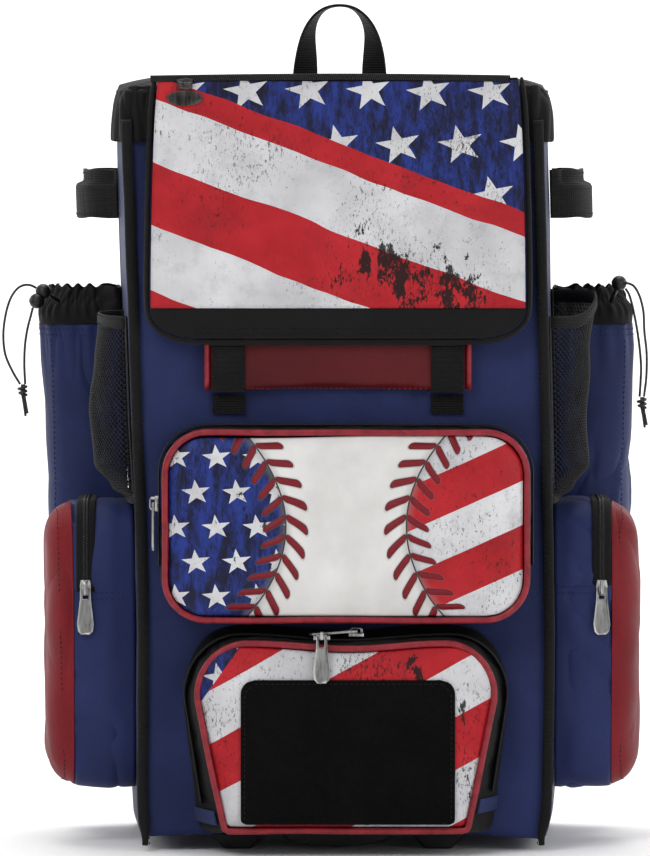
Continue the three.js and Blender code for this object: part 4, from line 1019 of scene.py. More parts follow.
def straight(x0, z0, x1, z1, count=40):
    return [(x0 + (x1 - x0) * k / count, z0 + (z1 - z0) * k / count) for k in range(count + 1)]


hem_rows = [run_on("flap_panel_cloth", straight(-HEM_HALF, flap_low.z + rise, HEM_HALF, flap_low.z + rise))
            for rise in (0.0035, 0.0075)]
seam("flap_hem_stitches", hem_rows, "bag", "black_cloth", dark_thread, FORWARD)

# %% [markdown]
# The carry handle is one length of webbing, sewn flat at both feet and twisted edge-on at the top, where the
# hand takes it. The straps below the flap are shorter cuts of the same stuff, boxed with stitches.

# %% Handle and straps
STRAP_INSET = 0.002


def strap_bend(place, normal):
    return Vector((0, -0.0007 * math.sin(place.z * 150), 0))


cloth_piece("carry_handle", webbing_weave, 3, rim=0.0003)
for side in SIDES:
    for part in ("upper", "lower"):
        node = f"flap_strap_{side}_{part}"
        low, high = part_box(node)
        strap = cloth_piece(node, webbing_weave, 3, strap_bend, rim=0.0005)
        left, right = low.x + STRAP_INSET, high.x - STRAP_INSET
        foot, top = low.z + STRAP_INSET, high.z - STRAP_INSET
        face = [(left, foot), (right, foot), (right, top), (left, top), (left, foot)]
        lines = [run_on(strap.name, straight(*a, *b, 12), 0.0003) for a, b in zip(face, face[1:])]
        seam(f"{node}_stitches", lines, "bag", "webbing", dark_thread, FORWARD)

# %% [markdown]
# The red band is a tube of cloth round a foam strip. A real one is stuffed before it is sewn shut, so it is
# made the same way here: the plain solid is remeshed, and Cloth blows it up for a few frames. How far a point
# may travel is capped, so it stays between its neighbours.

# %% Stuffing by cloth simulation
PAD_VOXEL = 0.0045


def stuffed(node, pressure, cap, shrink, back, frames=18):
    """A padded piece: remeshed, inflated, capped, laid flat on the plane y = back, and smoothed once."""
    mesh = nodes[node].data.copy()
    low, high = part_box(node)
    middle = (low + high) / 2
    for vert in mesh.vertices:
        vert.co = middle + (vert.co - middle) * shrink
    dense = through(mesh, ("REMESH", {"mode": "VOXEL", "voxel_size": PAD_VOXEL}))
    piece = bpy.data.objects.new(f"{node}_stuffed", dense)
    scene.collection.objects.link(piece)
    cloth = piece.modifiers.new("cloth", "CLOTH")
    stuff = {"quality": 5, "mass": 0.2, "use_pressure": True, "uniform_pressure_force": pressure,
             "tension_stiffness": 18, "compression_stiffness": 12, "bending_stiffness": 0.4}
    for key, value in stuff.items():
        setattr(cloth.settings, key, value)
    cloth.settings.effector_weights.gravity = 0
    cloth.collision_settings.use_collision = False
    cloth.point_cache.frame_end = frames
    for step in range(1, frames + 1):
        scene.frame_set(step)
    blown = bpy.data.meshes.new_from_object(piece.evaluated_get(bpy.context.evaluated_depsgraph_get()))
    for old, new in zip(dense.vertices, blown.vertices):
        move = new.co - old.co
        if move.length > cap:
            move = move.normalized() * cap
        new.co = old.co + move
    bpy.data.objects.remove(piece)
    bpy.data.meshes.remove(dense)
    dense = blown
    scene.frame_set(1)
    for vert in dense.vertices:
        vert.co.y = min(vert.co.y, back)
    mesh = through(dense, ("SUBSURF", {"levels": 1, "render_levels": 1}))
    print(node, "stuffed,", len(mesh.vertices), "points")
    return mesh


band_low, band_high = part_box("grab_band")
STRAP_MIDDLE = 0.084


def band_wrinkles(place, normal):
    slow = waves(Vector((place.x, 0, place.z * 2)), ((14, 0.0022), (36, 0.0008)), 21)
    long_fold = creases(place, 1.45, 0.021, 0.0022, 23, 5)
    face = between(-normal.y, 0.2, 0.8)
    from_strap = abs(abs(place.x) - STRAP_MIDDLE)
    front_limit = band_low.y - 0.0018 * between(from_strap, 0.015, 0.030)
    y = max(place.y - (min(slow, 0.0006) + long_fold) * face, front_limit)
    return Vector((0, y - place.y, 0))


band_mesh = fold(stuffed("grab_band", 3.0, 0.003, 0.985, band_high.y), band_wrinkles)
# the band wears the darker red: painted shade for the flap's shadow
band = settle("grab_band_padded", band_mesh, "bag", "red_cloth", band_cloth_in_painted_shade, "grab_band")
for k, x in enumerate((band_low.x + 0.0032, band_high.x - 0.0032)):
    line = smooth_line([(x, band_low.y + 0.0045, band_low.z + 0.004),
                        (x, band_low.y - 0.0002, band_low.z + 0.009),
                        (x, band_low.y - 0.0004, (band_low.z + band_high.z) / 2),
                        (x, band_low.y - 0.0002, band_high.z - 0.009),
                        (x, band_low.y + 0.0045, band_high.z - 0.003)], 6)
    settle(f"band_end_piping_{k}", tube_mesh("band_piping", line, 0.0042, 0.0042, FORWARD, sides=12),
           "bag", "red_piping", red_vinyl)
red_thread = thread_finish("red_thread", shade(90, 16, 24), shade(150, 40, 50))
rows = [run_on("grab_band_padded", straight(band_low.x + 0.008, z, band_high.x - 0.008, z, 60))
        for z in (band_low.z + 0.004, band_high.z - 0.006)]
seam("grab_band_stitches", rows, "bag", "red_cloth", red_thread, FORWARD)

# %% [markdown]
# The pockets' fronts are stiff printed panels with a slight crown. A plain grid is bent to the outline: each
# row is as wide as the rounded shape is at its height, and the face swells with the distance from the edge.
# Solidify gives it its thickness. The grid is dense, so dents and pulls at the piping can be real ones.

# %% Pocket fronts
GRID_STEP = 0.0028
PANEL_CROWN = 0.0055
PANEL_THICK = 0.0022
CROWN_REACH = 0.009


def corner_cut(rise, radius):
    """How much a rounded corner takes off a row that stands rise above its start."""
    into = max(0.0, 1 - rise / radius)
    return radius * (1 - math.sqrt(max(0.0, 1 - into * into)))


def panel_sheet(low, high, half_at, middle, crown):
    """A crowned sheet over an outline: half_at says how wide a row is."""
    wide, tall = high.x - low.x, high.z - low.z
    work = bmesh.new()
    bmesh.ops.create_grid(work, x_segments=round(wide / GRID_STEP), y_segments=round(tall / GRID_STEP), size=1)
    for vert in work.verts:
        v = math.sin(vert.co.y * math.pi / 2) * 0.5 + vert.co.y * 0.5
        z = (low.z + high.z) / 2 + v * tall / 2
        side = vert.co.x * half_at(z)
        from_edge = max(0.0, min(half_at(z) - abs(side), z - low.z, high.z - z))
        swell = crown * (1 - math.exp(-from_edge / CROWN_REACH))
        vert.co = Vector((middle + side, low.y + crown - swell, z))
    return work


def thickened(mesh, thickness):
    """The same sheet with a back to it."""
    return through(mesh, ("SOLIDIFY", {"thickness": thickness, "offset": -1.0}))


def turned_out(work, direction):
    """The faces of an open sheet turned to look along a direction."""
    work.normal_update()
    total = sum((f.normal * f.calc_area() for f in work.faces), Vector())
    if total.dot(Vector(direction)) < 0:
        bmesh.ops.reverse_faces(work, faces=work.faces)
    return work


def front_panel(node, finish, half_at, middle, folds):
    low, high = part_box(node)
    sheet = turned_out(panel_sheet(low, high, half_at, middle, PANEL_CROWN), FORWARD)
    mesh = thickened(fold(as_mesh(sheet, node), folds), PANEL_THICK)
    return settle(f"{node}_panel", mesh, "bag", slot_of(node), finish, node)


middle_low, middle_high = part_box("middle_pocket_front")
MIDDLE_RADIUS = 0.0285
middle_half = (middle_high.x - middle_low.x) / 2
middle_x = (middle_high.x + middle_low.x) / 2


def middle_half_at(z):
    rise = min(z - middle_low.z, middle_high.z - z)
    return middle_half - corner_cut(rise, MIDDLE_RADIUS)


def middle_folds(place, normal):
    near_top = between(place.z, middle_high.z - 0.05, middle_high.z)
    slow = waves(Vector((place.x, 0, place.z)), ((9, 0.0020), (21, 0.0010)), 31)
    return Vector((0, -min(slow, 0.0012), 0.0012 * math.sin(place.x * 26) * near_top))


front_panel("middle_pocket_front", laced_hide, middle_half_at, middle_x, middle_folds)

lower_low, lower_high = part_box("lower_pocket_front")
LOWER_RADIUS = 0.0345
LOWER_FOOT_RADIUS = 0.0035
LOWER_FOOT_HALF, LOWER_TOP_HALF = 0.0955, 0.125
LOWER_TALL, LOWER_FOOT_Z = 0.147, 0.018
LOWER_SLOPE = (LOWER_TOP_HALF - LOWER_FOOT_HALF) / LOWER_TALL
PIPING_INSIDE = 0.0050
lower_x = (lower_high.x + lower_low.x) / 2


def lower_half_at(z):
    slanted_half = LOWER_FOOT_HALF + LOWER_SLOPE * (z - LOWER_FOOT_Z) - PIPING_INSIDE
    top = corner_cut(lower_high.z - z, LOWER_RADIUS)
    foot = corner_cut(z - lower_low.z, LOWER_FOOT_RADIUS)
    return slanted_half - top - foot


def lower_sag(place):
    """How far the soft top of the lower pocket dips or rises."""
    near_top = between(place.z, lower_high.z - 0.04, lower_high.z)
    return -0.0022 * math.cos((place.x - lower_x) * 40) * near_top


def lower_folds(place, normal):
    slow = waves(Vector((place.x, 0, place.z)), ((10, 0.0016), (24, 0.0008)), 37)
    under_patch = 0.2 if abs(place.x - lower_x) < 0.085 else 1.0
    return Vector((0, -min(slow, 0.0006) * under_patch, lower_sag(place)))


front_panel("lower_pocket_front", lower_stripes, lower_half_at, lower_x, lower_folds)
print("pocket fronts", [name for name in pieces if name.endswith("_panel")])

# %% [markdown]
# Each front pocket stands off the body on a gusset, a strip of black cloth that runs round it. The gusset is
# where a full pocket gives, so it gets the sharpest folds of the front. The top of the lower pocket sags
# between its corners, and everything sewn to it has to sag with it, so one rule gives the sag of them all.

# %% Gussets
def gusset_folds(seed, sag):
    def push(place, normal):
        flat = Vector((normal.x, 0, normal.z))
        puckers = 0.0006 * math.sin((place.x + place.z) * 260 + 5 * noise.noise(place * 30))
        inward = min(waves(place, ((24, 0.0022), (55, 0.0009)), seed) + puckers, 0.0005)
        clear = between(FRONT_FACE - place.y, 0.001, 0.008)
        return flat * inward * clear + Vector((0, 0, sag(place)))
    return push


def no_sag(place):
    return 0.0


cloth_piece("middle_pocket_gusset", black_cloth, 3, gusset_folds(41, no_sag))


def lower_lift(place):
    """Where it meets the body, the top of the gusset is sewn on higher than at the pocket's front."""
    at_body = between(place.y, -0.119, -0.105)
    near_top = between(place.z, lower_high.z - 0.030, lower_high.z + 0.003)
    return lower_sag(place) + 0.0078 * at_body * near_top


cloth_piece("lower_pocket_gusset", black_cloth, 3, gusset_folds(43, lower_lift))
for side in SIDES:
    cloth_piece(f"lower_zip_tab_{side}", blue_cloth, 3, rim=0.0003)

# %% [markdown]
# A zip is a tape with two rows of coil sewn to it. The tape is a flat tube along the gusset. Each turn of the
# coil is one short bar across it, with the second row half a step behind, which is how the teeth mesh.

# %% Zips
COIL_STEP = 0.0015


def zip_run(name, path, across, tape, outwards=1, body="bag"):
    """Tape and coil along a path; across is the way the tape is wide, outwards turns the coil to its face."""
    spread = Vector(across).normalized()
    settle(f"{name}_tape", tube_mesh(f"{name}_tape", path, 0.0011, tape, across, sides=14), body,
           "black_cloth", zip_tape)
    placings = []
    for row in (-1, 1):
        steps = even_steps(path, COIL_STEP)
        for (spot, along), (following, _) in zip(steps, steps[1:]):
            out = spread.cross(along).normalized() * outwards
            middle = (spot if row < 0 else (spot + following) / 2) + spread * row * 0.0011 + out * 0.0006
            turn = Matrix((along, spread, out)).transposed().to_4x4()
            placings.append(Matrix.Translation(middle) @ turn @ Matrix.Diagonal((0.00052, 0.0015, 0.0006, 1)))
    settle(f"{name}_coil", beads("coil", placings), body, "black_cloth", zip_coil)


def evened(path, step, loop=False):
    return [spot for spot, _ in even_steps(path, step, loop)]


def pocket_corners(low_z, high_z, half_low, half_high, middle, y, foot, top):
    return [(middle - half_low, y, low_z, foot), (middle + half_low, y, low_z, foot),
            (middle + half_high, y, high_z, top), (middle - half_high, y, high_z, top)]


middle_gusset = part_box("middle_pocket_gusset")
lower_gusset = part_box("lower_pocket_gusset")
ZIP_DEEP = 0.45
POCKET_X = 0.006
MIDDLE_ZIP_HALF = 0.1434
middle_zip_y = FRONT_FACE - 0.034 * ZIP_DEEP
lower_zip_y = FRONT_FACE - 0.044 * ZIP_DEEP
middle_round = rounded_path(pocket_corners(middle_gusset[0].z, middle_gusset[1].z, MIDDLE_ZIP_HALF,
                                           MIDDLE_ZIP_HALF, POCKET_X, middle_zip_y, 0.036, 0.036), 10)
middle_zip = [p for p in evened(middle_round, 0.004, True) if p.z > middle_gusset[0].z + 0.045]
zip_run("middle_zip", middle_zip, (0, 1, 0), 0.016)
LOWER_ZIP_FOOT, LOWER_ZIP_TOP = 0.1072, 0.1310
lower_round = rounded_path(pocket_corners(lower_gusset[0].z, lower_gusset[1].z, LOWER_ZIP_FOOT, LOWER_ZIP_TOP,
                                          POCKET_X, lower_zip_y, 0.007, 0.042), 10)
lower_zip = [p + Vector((0, 0, lower_sag(p))) for p in evened(lower_round, 0.004, True)
             if p.z > lower_gusset[0].z + (0.021 if p.x < 0 else 0.030)]
zip_run("lower_zip", lower_zip, (0, 1, 0), 0.018)
print("front zips", len(middle_zip), len(lower_zip))

# %% [markdown]
# The red piping goes all the way round each pocket. Its path is a rounded outline cut into steps of 3.5 mm;
# every other ring is a little narrower, which gives the ripple of a machine-sewn cord, and slow noise makes
# the line wander by half a millimetre, as vinyl does when it is pulled round a corner.

# %% Piping
PIPING_WIDE = 0.0052


def piping(node, half_low, half_high, foot, top, sag):
    low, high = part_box(node)
    inset = PIPING_WIDE / 2 - 0.0001
    corners = pocket_corners(low.z + inset, high.z - inset, half_low - inset, half_high - inset, POCKET_X,
                             (low.y + high.y) / 2, foot, top)
    line = evened(rounded_path(corners, 12), 0.0035, True)
    line = line[:len(line) // 2 * 2]
    line = [p + Vector((0.0007 * noise.noise(p * 23), 0,
                        0.0007 * noise.noise(p * 19 + Vector((5, 5, 5))) + sag(p))) for p in line]
    mesh = tube_mesh(node, line, PIPING_WIDE, PIPING_WIDE * 0.94, FORWARD, loop=True, sides=14, dent=0.045)
    return settle(f"{node}_cord", mesh, "bag", "red_piping", red_vinyl, node)


piping("middle_pocket_piping", 0.141, 0.141, 0.0315, 0.0315, no_sag)
piping("lower_pocket_piping", LOWER_FOOT_HALF, LOWER_TOP_HALF, 0.004, 0.0375, lower_sag)

# %% [markdown]
# The large black patch is loop pile, the soft half of hook-and-loop tape, for badges. Its face is a dense
# grid lifted by fine noise, so the edge of the patch looks fuzzy and not cut from plastic.

# %% Loop-pile patch
patch_low, patch_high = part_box("loop_patch")
PATCH_STEP = 0.0016
PATCH_TOP_RADIUS, PATCH_FOOT_RADIUS = 0.011, 0.004


def patch_sheet():
    wide, tall = patch_high.x - patch_low.x, patch_high.z - patch_low.z
    work = bmesh.new()
    bmesh.ops.create_grid(work, x_segments=round(wide / PATCH_STEP), y_segments=round(tall / PATCH_STEP),
                          size=1)
    for vert in work.verts:
        z = (patch_low.z + patch_high.z) / 2 + vert.co.y * tall / 2
        cut = corner_cut(patch_high.z - z, PATCH_TOP_RADIUS) + corner_cut(z - patch_low.z, PATCH_FOOT_RADIUS)
        edge = min(1 - abs(vert.co.x), 1 - abs(vert.co.y))
        x = (patch_low.x + patch_high.x) / 2 + vert.co.x * (wide / 2 - cut)
        fuzz = 0.0005 * noise.noise(Vector((x * 700, z * 700, 3)))
        fuzz += 0.0004 * noise.noise(Vector((x * 240, z * 240, 8)))
        vert.co = Vector((x, patch_low.y - fuzz + 0.0006 * (1 - between(edge, 0, 0.04)), z))
    return work


patch_mesh = thickened(as_mesh(turned_out(patch_sheet(), FORWARD), "loop_patch"), patch_high.y - patch_low.y)
settle("loop_patch_pile", patch_mesh, "bag", "loop_pile", loop_pile, "loop_patch")
inset = 0.003
patch_line = [(patch_low.x + inset, patch_low.z + inset), (patch_low.x + inset, patch_high.z - 0.010),
              (patch_low.x + 0.010, patch_high.z - inset), (patch_high.x - 0.010, patch_high.z - inset),
              (patch_high.x - inset, patch_high.z - 0.010), (patch_high.x - inset, patch_low.z + inset)]
seam("loop_patch_stitches", [run_on("loop_patch_pile", straight(*a, *b, 40), 0.0003)
     for a, b in zip(patch_line, patch_line[1:])], "bag", "loop_pile", dark_thread, FORWARD)

# %% [markdown]
# Sliders and pulls are die-cast zinc. Casting rounds each edge a little and the middle of a pull is pressed
# in, which leaves a rim. Each starts from its own construction solid: the broad faces are inset and sunk, and
# a small hardened bevel does the rest. The sunk faces are marked, and the zinc finish paints shade into them.
# The four pulls that hang keep to their own bodies, so they can swing.

# %% Hard pieces
def hard_piece(node, finish, bevel, rim=0.0, sunk=0.0, suffix="cast"):
    shell = merged(node)
    recess_shade = shell.verts.layers.float.new("recess_shade")
    if rim:
        broad = max(shell.faces, key=lambda face: face.calc_area()).normal.copy()
        for way in (1, -1):
            faces = [face for face in shell.faces if face.normal.dot(broad * way) > 0.95]
            bmesh.ops.inset_region(shell, faces=faces, thickness=rim, depth=-sunk, use_boundary=True)
            for vert in {vert for face in faces for vert in face.verts}:
                vert[recess_shade] = 1.0
    for face in shell.faces:
        face.smooth = True
    mesh = through(as_mesh(shell, node), ("BEVEL", {
        "width": bevel, "segments": 3, "limit_method": "ANGLE", "angle_limit": math.radians(24),
        "harden_normals": True, "loop_slide": False}))
    low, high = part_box(node)
    beyond = max(max(low[k] - v.co[k], v.co[k] - high[k]) for v in mesh.vertices for k in range(3))
    print(node, "stays within", round(beyond * 1000, 2), "mm")
    return settle(f"{node}_{suffix}", mesh, body_of(node), slot_of(node), finish, node)


hard_piece("lid_zip_slider", gun_zinc, 0.00045)
hard_piece("lid_zip_pull", gun_zinc, 0.0004, 0.0016, 0.0005)
for node in ("middle_zip_slider", "lower_zip_slider_left", "lower_zip_slider_right",
             "side_zip_slider_left", "side_zip_slider_right"):
    hard_piece(node, satin_zinc, 0.00045)
for node in ("middle_zip_pull", "lower_zip_pull_left", "lower_zip_pull_right", "side_zip_pull_left",
             "side_zip_pull_right"):
    hard_piece(node, satin_zinc, 0.00035, 0.0013, 0.0006)
for node in ("skid_left", "skid_right", "centre_foot"):
    hard_piece(node, foot_plastic, 0.0022, suffix="moulded")
print("hard pieces", [name for name in pieces if name.endswith(("_cast", "_moulded"))])

# %% [markdown]
# The lid's zip runs along the upper edge of the flap and shows as a dark line of coil, with its slider at the
# left end. It follows the crown of the flap.

# %% Lid zip
lid_zip_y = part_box("flap_print")[0].y + 0.0092
LID_ZIP_Z, LID_ZIP_BOW = 0.5958, 0.0016
lid_line = [Vector((x * MM, lid_zip_y, LID_ZIP_Z + LID_ZIP_BOW * math.cos(x * MM * math.pi / FLAP_WIDE)))
            for x in range(-144, 136, 4)]
zip_run("lid_zip", lid_line, (0, 0, 1), 0.0052, -1)

# %% [markdown]
# The bat sleeves are long blue tubes that hang from the side walls. Little fills them, so their front dents
# in broad waves and the cloth pulls towards the seam at the neck. Rings of stitches are read off the finished
# cloth by looking at it from all round, and that's how the seams keep to every dent.

# %% Bat sleeves
def around(name, middle, z, start, end, count=40, lift=0.0004):
    """A line round a standing piece at height z, found by looking inwards from outside."""
    line = []
    for k in range(count + 1):
        angle = math.radians(start + (end - start) * k / count)
        way = Vector((math.cos(angle), math.sin(angle), 0))
        hit, place, _, _ = pieces[name].ray_cast(Vector((*middle, z)) + way * 0.3, -way)
        if hit:
            line.append(place + way * lift)
    return line


SLEEVE_AXIS = 0.198


def sleeve_folds(side):
    low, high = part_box(f"bat_sleeve_{side}")

    def push(place, normal):
        hang = between(place.z, low.z, low.z + 0.05) * (1 - between(place.z, high.z - 0.02, high.z))
        slow = waves(place, ((8, 0.0058), (19, 0.0022)), 51 if side == "left" else 57)
        fine = creases(Vector((place.x + place.y, 0, place.z)), 0.5, 0.052, 0.0028, 53)
        neck = between(place.z, high.z - 0.055, high.z - 0.004)
        pleat = 0.0009 * math.sin(math.atan2(place.y - 0.074, abs(place.x) - 0.19) * 17) * neck
        away = between(SIDES[side] * place.x - 0.166, 0.0, 0.012)
        flat = Vector((normal.x, normal.y, 0))
        return flat * (min(slow + fine, 0.0016) * hang + pleat) * away
    return push


for side, sign in SIDES.items():
    sleeve = cloth_piece(f"bat_sleeve_{side}", blue_cloth, 3, sleeve_folds(side), rim=0.0004)
    low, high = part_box(f"bat_sleeve_{side}")
    middle = (sign * SLEEVE_AXIS, (low.y + high.y) / 2)
    start = 90 if side == "left" else -90
    rows = [around(sleeve.name, middle, z, start, start + 180, 70)
            for z in (high.z - 0.004, high.z - 0.0085, low.z + 0.02)]
    corner = start + (135 if side == "left" else 45)
    upright = [around(sleeve.name, middle, low.z + 0.02 + (high.z - low.z - 0.03) * k / 90, corner, corner, 1)
               for k in range(91)]
    rows.append([line[0] for line in upright if line])
    seam(f"bat_sleeve_stitches_{side}", rows, "bag", "blue_cloth", blue_thread,
         lambda spot, m=middle: (spot.x - m[0], spot.y - m[1], 0))

# %% [markdown]
# A drawcord gathers each sleeve's neck. Gathers are many thin pleats, deepest at the cord's channel, that fan
# out to a ruffled edge. The construction has the big ones, and a faster wave round the neck adds the small.

# %% Gathered necks
def neck_gathers(side):
    low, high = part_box(f"sleeve_collar_{side}")
    middle = (low + high) / 2

    def push(place, normal):
        angle = math.atan2(place.y - middle.y, place.x - middle.x)
        up = (place.z - low.z) / (high.z - low.z)
        free = between(SIDES[side] * place.x - 0.170, 0.0, 0.01)
        pleat = math.sin(angle * 30 + 3 * noise.noise(place * 40)) * 0.0011 * between(up, 0.05, 0.5)
        channel = 0.0012 * math.exp(-((up - 0.66) / 0.09) ** 2)
        ruffle = 0.0016 * math.sin(angle * 19 + 1.3) * between(up, 0.8, 1.0)
        flat = Vector((normal.x, normal.y, 0))
        return (flat * (pleat - channel) + Vector((0, 0, ruffle))) * free
    return push


for side in SIDES:
    cloth_piece(f"sleeve_collar_{side}", black_cloth, 3, neck_gathers(side))

# %% [markdown]
# The bottle pockets are net. Knitted net has diamond holes, so the grid that is bent to the pouch is poked and
# its first edges are dissolved, which leaves diamonds, and Wireframe turns every edge to yarn. The rim and
# the two seams at the sides are bound with cloth tape.

# %% Bottle pockets
NET_CELL = 0.0042
NET_GIRTH = 0.125
YARN_THICK = 0.0009
POUCH_START, POUCH_DEEP, POUCH_REACH = 0.018, 0.094, 0.030
POUCH_SHARES = {
    "left": [(0.0, 0.05), (0.07, 0.5), (0.2, 0.92), (0.45, 0.98), (0.75, 0.8), (1.0, 0.66)],
    "right": [(0.0, 0.05), (0.07, 0.5), (0.2, 0.9), (0.45, 0.86), (0.75, 0.96), (1.0, 1.16)],
}
POUCH_MOUTH = {"left": 0.002, "right": 0.019}


def read_share(rows, at):
    for (start, low), (end, high) in zip(rows, rows[1:]):
        if at <= end:
            return low + (high - low) * between(at, start, end)
    return rows[-1][1]


def wall_at(side, y, z):
    """How far out the body's own side is at a place, found by looking at it from the side."""
    hit, place, _, _ = pieces["body_shell_cloth"].ray_cast(Vector((SIDES[side] * 0.5, y, z)),
                                                          Vector((-SIDES[side], 0, 0)))
    return abs(place.x) if hit else 0.165


def pouch_spot(side, u, v):
    low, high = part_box(f"mesh_pocket_{side}")
    z = low.z + v * (high.z - low.z)
    y = FRONT_FACE + POUCH_START + u * POUCH_DEEP
    reach = POUCH_REACH * read_share(POUCH_SHARES[side], v) * math.sin(math.pi * min(1, max(0, u))) ** 0.7
    x = wall_at(side, y, z) + 0.0009 + reach * (1 + 0.05 * noise.noise(Vector((u * 3, v * 4, 7))))
    lift = POUCH_MOUTH[side] * between(u, 0.1, 0.65) * v ** 3
    return Vector((SIDES[side] * x, y, z + lift))


def net_mesh(side):
    low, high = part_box(f"mesh_pocket_{side}")
    work = bmesh.new()
    bmesh.ops.create_grid(work, x_segments=round(NET_GIRTH / NET_CELL),
                          y_segments=round((high.z - low.z) / NET_CELL), size=1)
    first = [edge for edge in work.edges if not edge.is_boundary]
    bmesh.ops.poke(work, faces=work.faces)
    bmesh.ops.dissolve_edges(work, edges=first)
    for vert in work.verts:
        vert.co = pouch_spot(side, vert.co.x / 2 + 0.5, vert.co.y / 2 + 0.5)
    return through(as_mesh(work, f"net_{side}"),
                   ("WIREFRAME", {"thickness": YARN_THICK, "use_even_offset": False}))


for side, sign in SIDES.items():
    settle(f"mesh_pocket_{side}_net", net_mesh(side), "bag", "net", black_net, f"mesh_pocket_{side}")
    rim = [pouch_spot(side, k / 40, 0.972) for k in range(41)]
    foot = [pouch_spot(side, k / 30, 0.02) for k in range(31)]
    front, back = ([pouch_spot(side, u, k / 30) for k in range(31)] for u in (0.0, 1.0))
    tapes = {"rim": (rim, 0.0026, 0.0095, (0, 0, 1), 14), "edge_0": (front, 0.0075, 0.0022, (sign, 0, 0), 12),
             "edge_1": (back, 0.0075, 0.0022, (sign, 0, 0), 12),
             "foot": (foot, 0.0026, 0.0075, (0, 0, 1), 12)}
    for part, (path, wide, deep, facing, sides) in tapes.items():
        mesh = tube_mesh(part, path, wide, deep, facing, sides=sides)
        settle(f"mesh_pocket_{side}_{part}", mesh, "bag", "net", binding_cloth)
    rows = [[p + Vector((sign * 0.0014, 0, rise)) for p in rim] for rise in (-0.0032, 0.0032)]
    seam(f"mesh_pocket_{side}_stitches", rows, "bag", "net", dark_thread, (sign, 0, 0))
print("nets", [len(pieces[f"mesh_pocket_{side}_net"].data.polygons) for side in SIDES])

# %% [markdown]
# The side pockets are deep: a blue gusset carries a domed red panel. The panel is cut in one piece, so its
# dome has soft radial dents, and the gusset wrinkles where a double seam crosses it at two thirds of its
# height. Its zip comes over the top and down the front edge, as far as that seam.

# %% Side pockets
def side_gusset_folds(side):
    def push(place, normal):
        stand_off = abs(place.x) - WALL_X[side]
        clear = between(stand_off, 0.004, 0.014)
        slow = waves(place, ((12, 0.0042), (30, 0.0016)), 61 if side == "left" else 67)
        pulled = -0.0020 * math.exp(-((place.z - SEAM_HEIGHT[side]) / 0.0045) ** 2)
        crease = creases(Vector((place.x + place.y, 0, place.z)), 1.25, 0.034, 0.0022, 63)
        flat = Vector((0, normal.y, normal.z))
        return flat * (min(slow, 0.001) + pulled + crease) * clear
    return push


def side_panel_folds(side):
    low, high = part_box(f"side_pocket_panel_{side}")
    middle = (low + high) / 2

    def push(place, normal):
        out = (abs(place.x) - min(abs(low.x), abs(high.x))) / (high.x - low.x)
        clear = between(out, 0.03, 0.3)
        slow = waves(place, ((11, 0.0044), (26, 0.0018)), 71 if side == "left" else 77)
        angle = math.atan2(place.z - middle.z, (place.y - middle.y) * 2)
        radial = -0.0009 * abs(math.sin(angle * 5 + 2 * noise.noise(place * 12))) ** 3
        return normal * (min(slow, 0.0014) + radial) * clear
    return push


def gusset_line(gusset, side, z):
    spots = [on_piece(gusset.name, SIDES[side] * x * MM, z) for x in range(165, 210, 2)]
    return [spot for spot in spots if spot is not None]


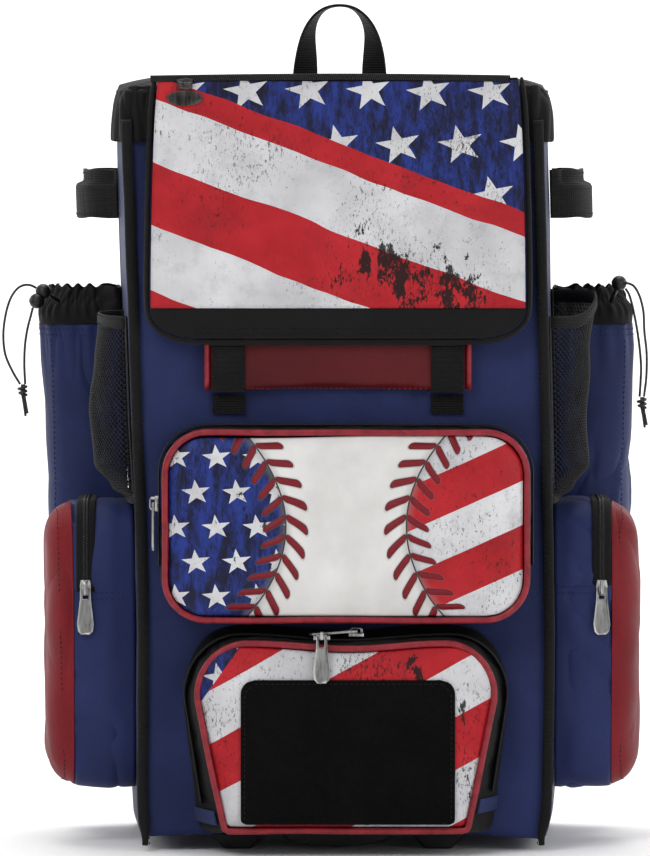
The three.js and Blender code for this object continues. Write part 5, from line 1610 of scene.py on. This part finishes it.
WALL_X = {"left": 0.163, "right": 0.169}
SEAM_HEIGHT = {"left": 0.1952, "right": 0.2002}
ZIP_BEND = 0.024
PANEL_INSET = 0.008
for side, sign in SIDES.items():
    gusset = cloth_piece(f"side_pocket_gusset_{side}", blue_cloth, 3, side_gusset_folds(side))
    panel = cloth_piece(f"side_pocket_panel_{side}", red_cloth, 3, side_panel_folds(side))
    low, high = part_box(f"side_pocket_gusset_{side}")
    slider_low, slider_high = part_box(f"side_zip_slider_{side}")
    zip_x = (slider_low.x + slider_high.x) / 2
    zip_front, zip_top = low.y + 0.0012, high.z - 0.0008
    arc = [Vector((zip_x, zip_front + ZIP_BEND * (1 - math.cos(k * math.pi / 20)),
                   zip_top - ZIP_BEND * (1 - math.sin(k * math.pi / 20)))) for k in range(11)]
    line = [Vector((zip_x, zip_front, SEAM_HEIGHT[side] + 0.002))] + arc + [Vector((zip_x, 0.02, zip_top))]
    zip_run(f"side_zip_{side}", evened(line, 0.003), (1, 0, 0), 0.0145)
    rows = [gusset_line(gusset, side, SEAM_HEIGHT[side] + rise) for rise in (-0.0024, 0.0024)]
    seam(f"side_gusset_stitches_{side}", rows, "bag", "blue_cloth", blue_thread, FORWARD)
    front, back = low.y + PANEL_INSET, high.y - PANEL_INSET
    foot, top = low.z + PANEL_INSET, high.z - PANEL_INSET
    path = [(y, z) for y, _, z in rounded_path(
        [(y, 0, z, 0.022) for y, z in ((front, foot), (back, foot), (back, top), (front, top))], 8)]
    red_line = []
    for y, z in path + path[:1]:
        hit, place, _, _ = panel.ray_cast(Vector((sign * 0.5, y, z)), Vector((-sign, 0, 0)))
        if hit:
            red_line.append(place + Vector((sign * 0.0004, 0, 0)))
    seam(f"side_panel_stitches_{side}", [red_line], "bag", "red_cloth", dark_thread, (sign, 0, 0))

# %% [markdown]
# Above the bottle pockets a short webbing loop holds each bat's handle. Its upper edge is folded in and sewn,
# which makes it step in near the top.

# %% Bat loops
LOOP_WALL = 0.172


def loop_step(side):
    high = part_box(f"bat_loop_{side}")[1]

    def push(place, normal):
        narrow = between(place.z, high.z - 0.013, high.z - 0.009)
        free = between(SIDES[side] * place.x - LOOP_WALL, 0.0, 0.012)
        return Vector((-SIDES[side] * 0.0065 * narrow * free, 0, 0.0006 * math.sin(place.y * 190) * free))
    return push


for side, sign in SIDES.items():
    loop = cloth_piece(f"bat_loop_{side}", webbing_weave, 3, loop_step(side), rim=0.0005)
    low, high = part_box(f"bat_loop_{side}")
    middle = (sign * LOOP_WALL, (low.y + high.y) / 2)
    start = 95 if side == "left" else -85
    rows = [around(loop.name, middle, z, start, start + 170, 60) for z in (low.z + 0.003, high.z - 0.003)]
    seam(f"bat_loop_stitches_{side}", rows, "bag", "webbing", dark_thread,
         lambda spot, m=middle: (spot.x - m[0], spot.y - m[1], 0))

# %% [markdown]
# Nothing of the shoulder straps is seen in the photograph, so they are finished plainly: padded black cloth
# with a quilted face and unpadded feet of the same cloth. The swell between the quilting lines fades out where
# the pad ends.

# %% Shoulder straps
def quilting(side):
    low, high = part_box(f"shoulder_strap_{side}")

    def push(place, normal):
        pad = between(place.z, low.z + 0.155, low.z + 0.19) * (1 - between(place.z, high.z - 0.02, high.z))
        swell = 0.0016 * abs(math.sin((place.z - low.z) * math.pi / 0.044)) ** 0.5
        slow = waves(place, ((10, 0.0022), (24, 0.0008)), 81)
        return Vector((0, (swell + slow) * pad * between(normal.y, 0.1, 0.8), 0))
    return push


for side in SIDES:
    strap = cloth_piece(f"shoulder_strap_{side}", black_cloth, 4, quilting(side), rim=0.001)
print("pieces", len(pieces))
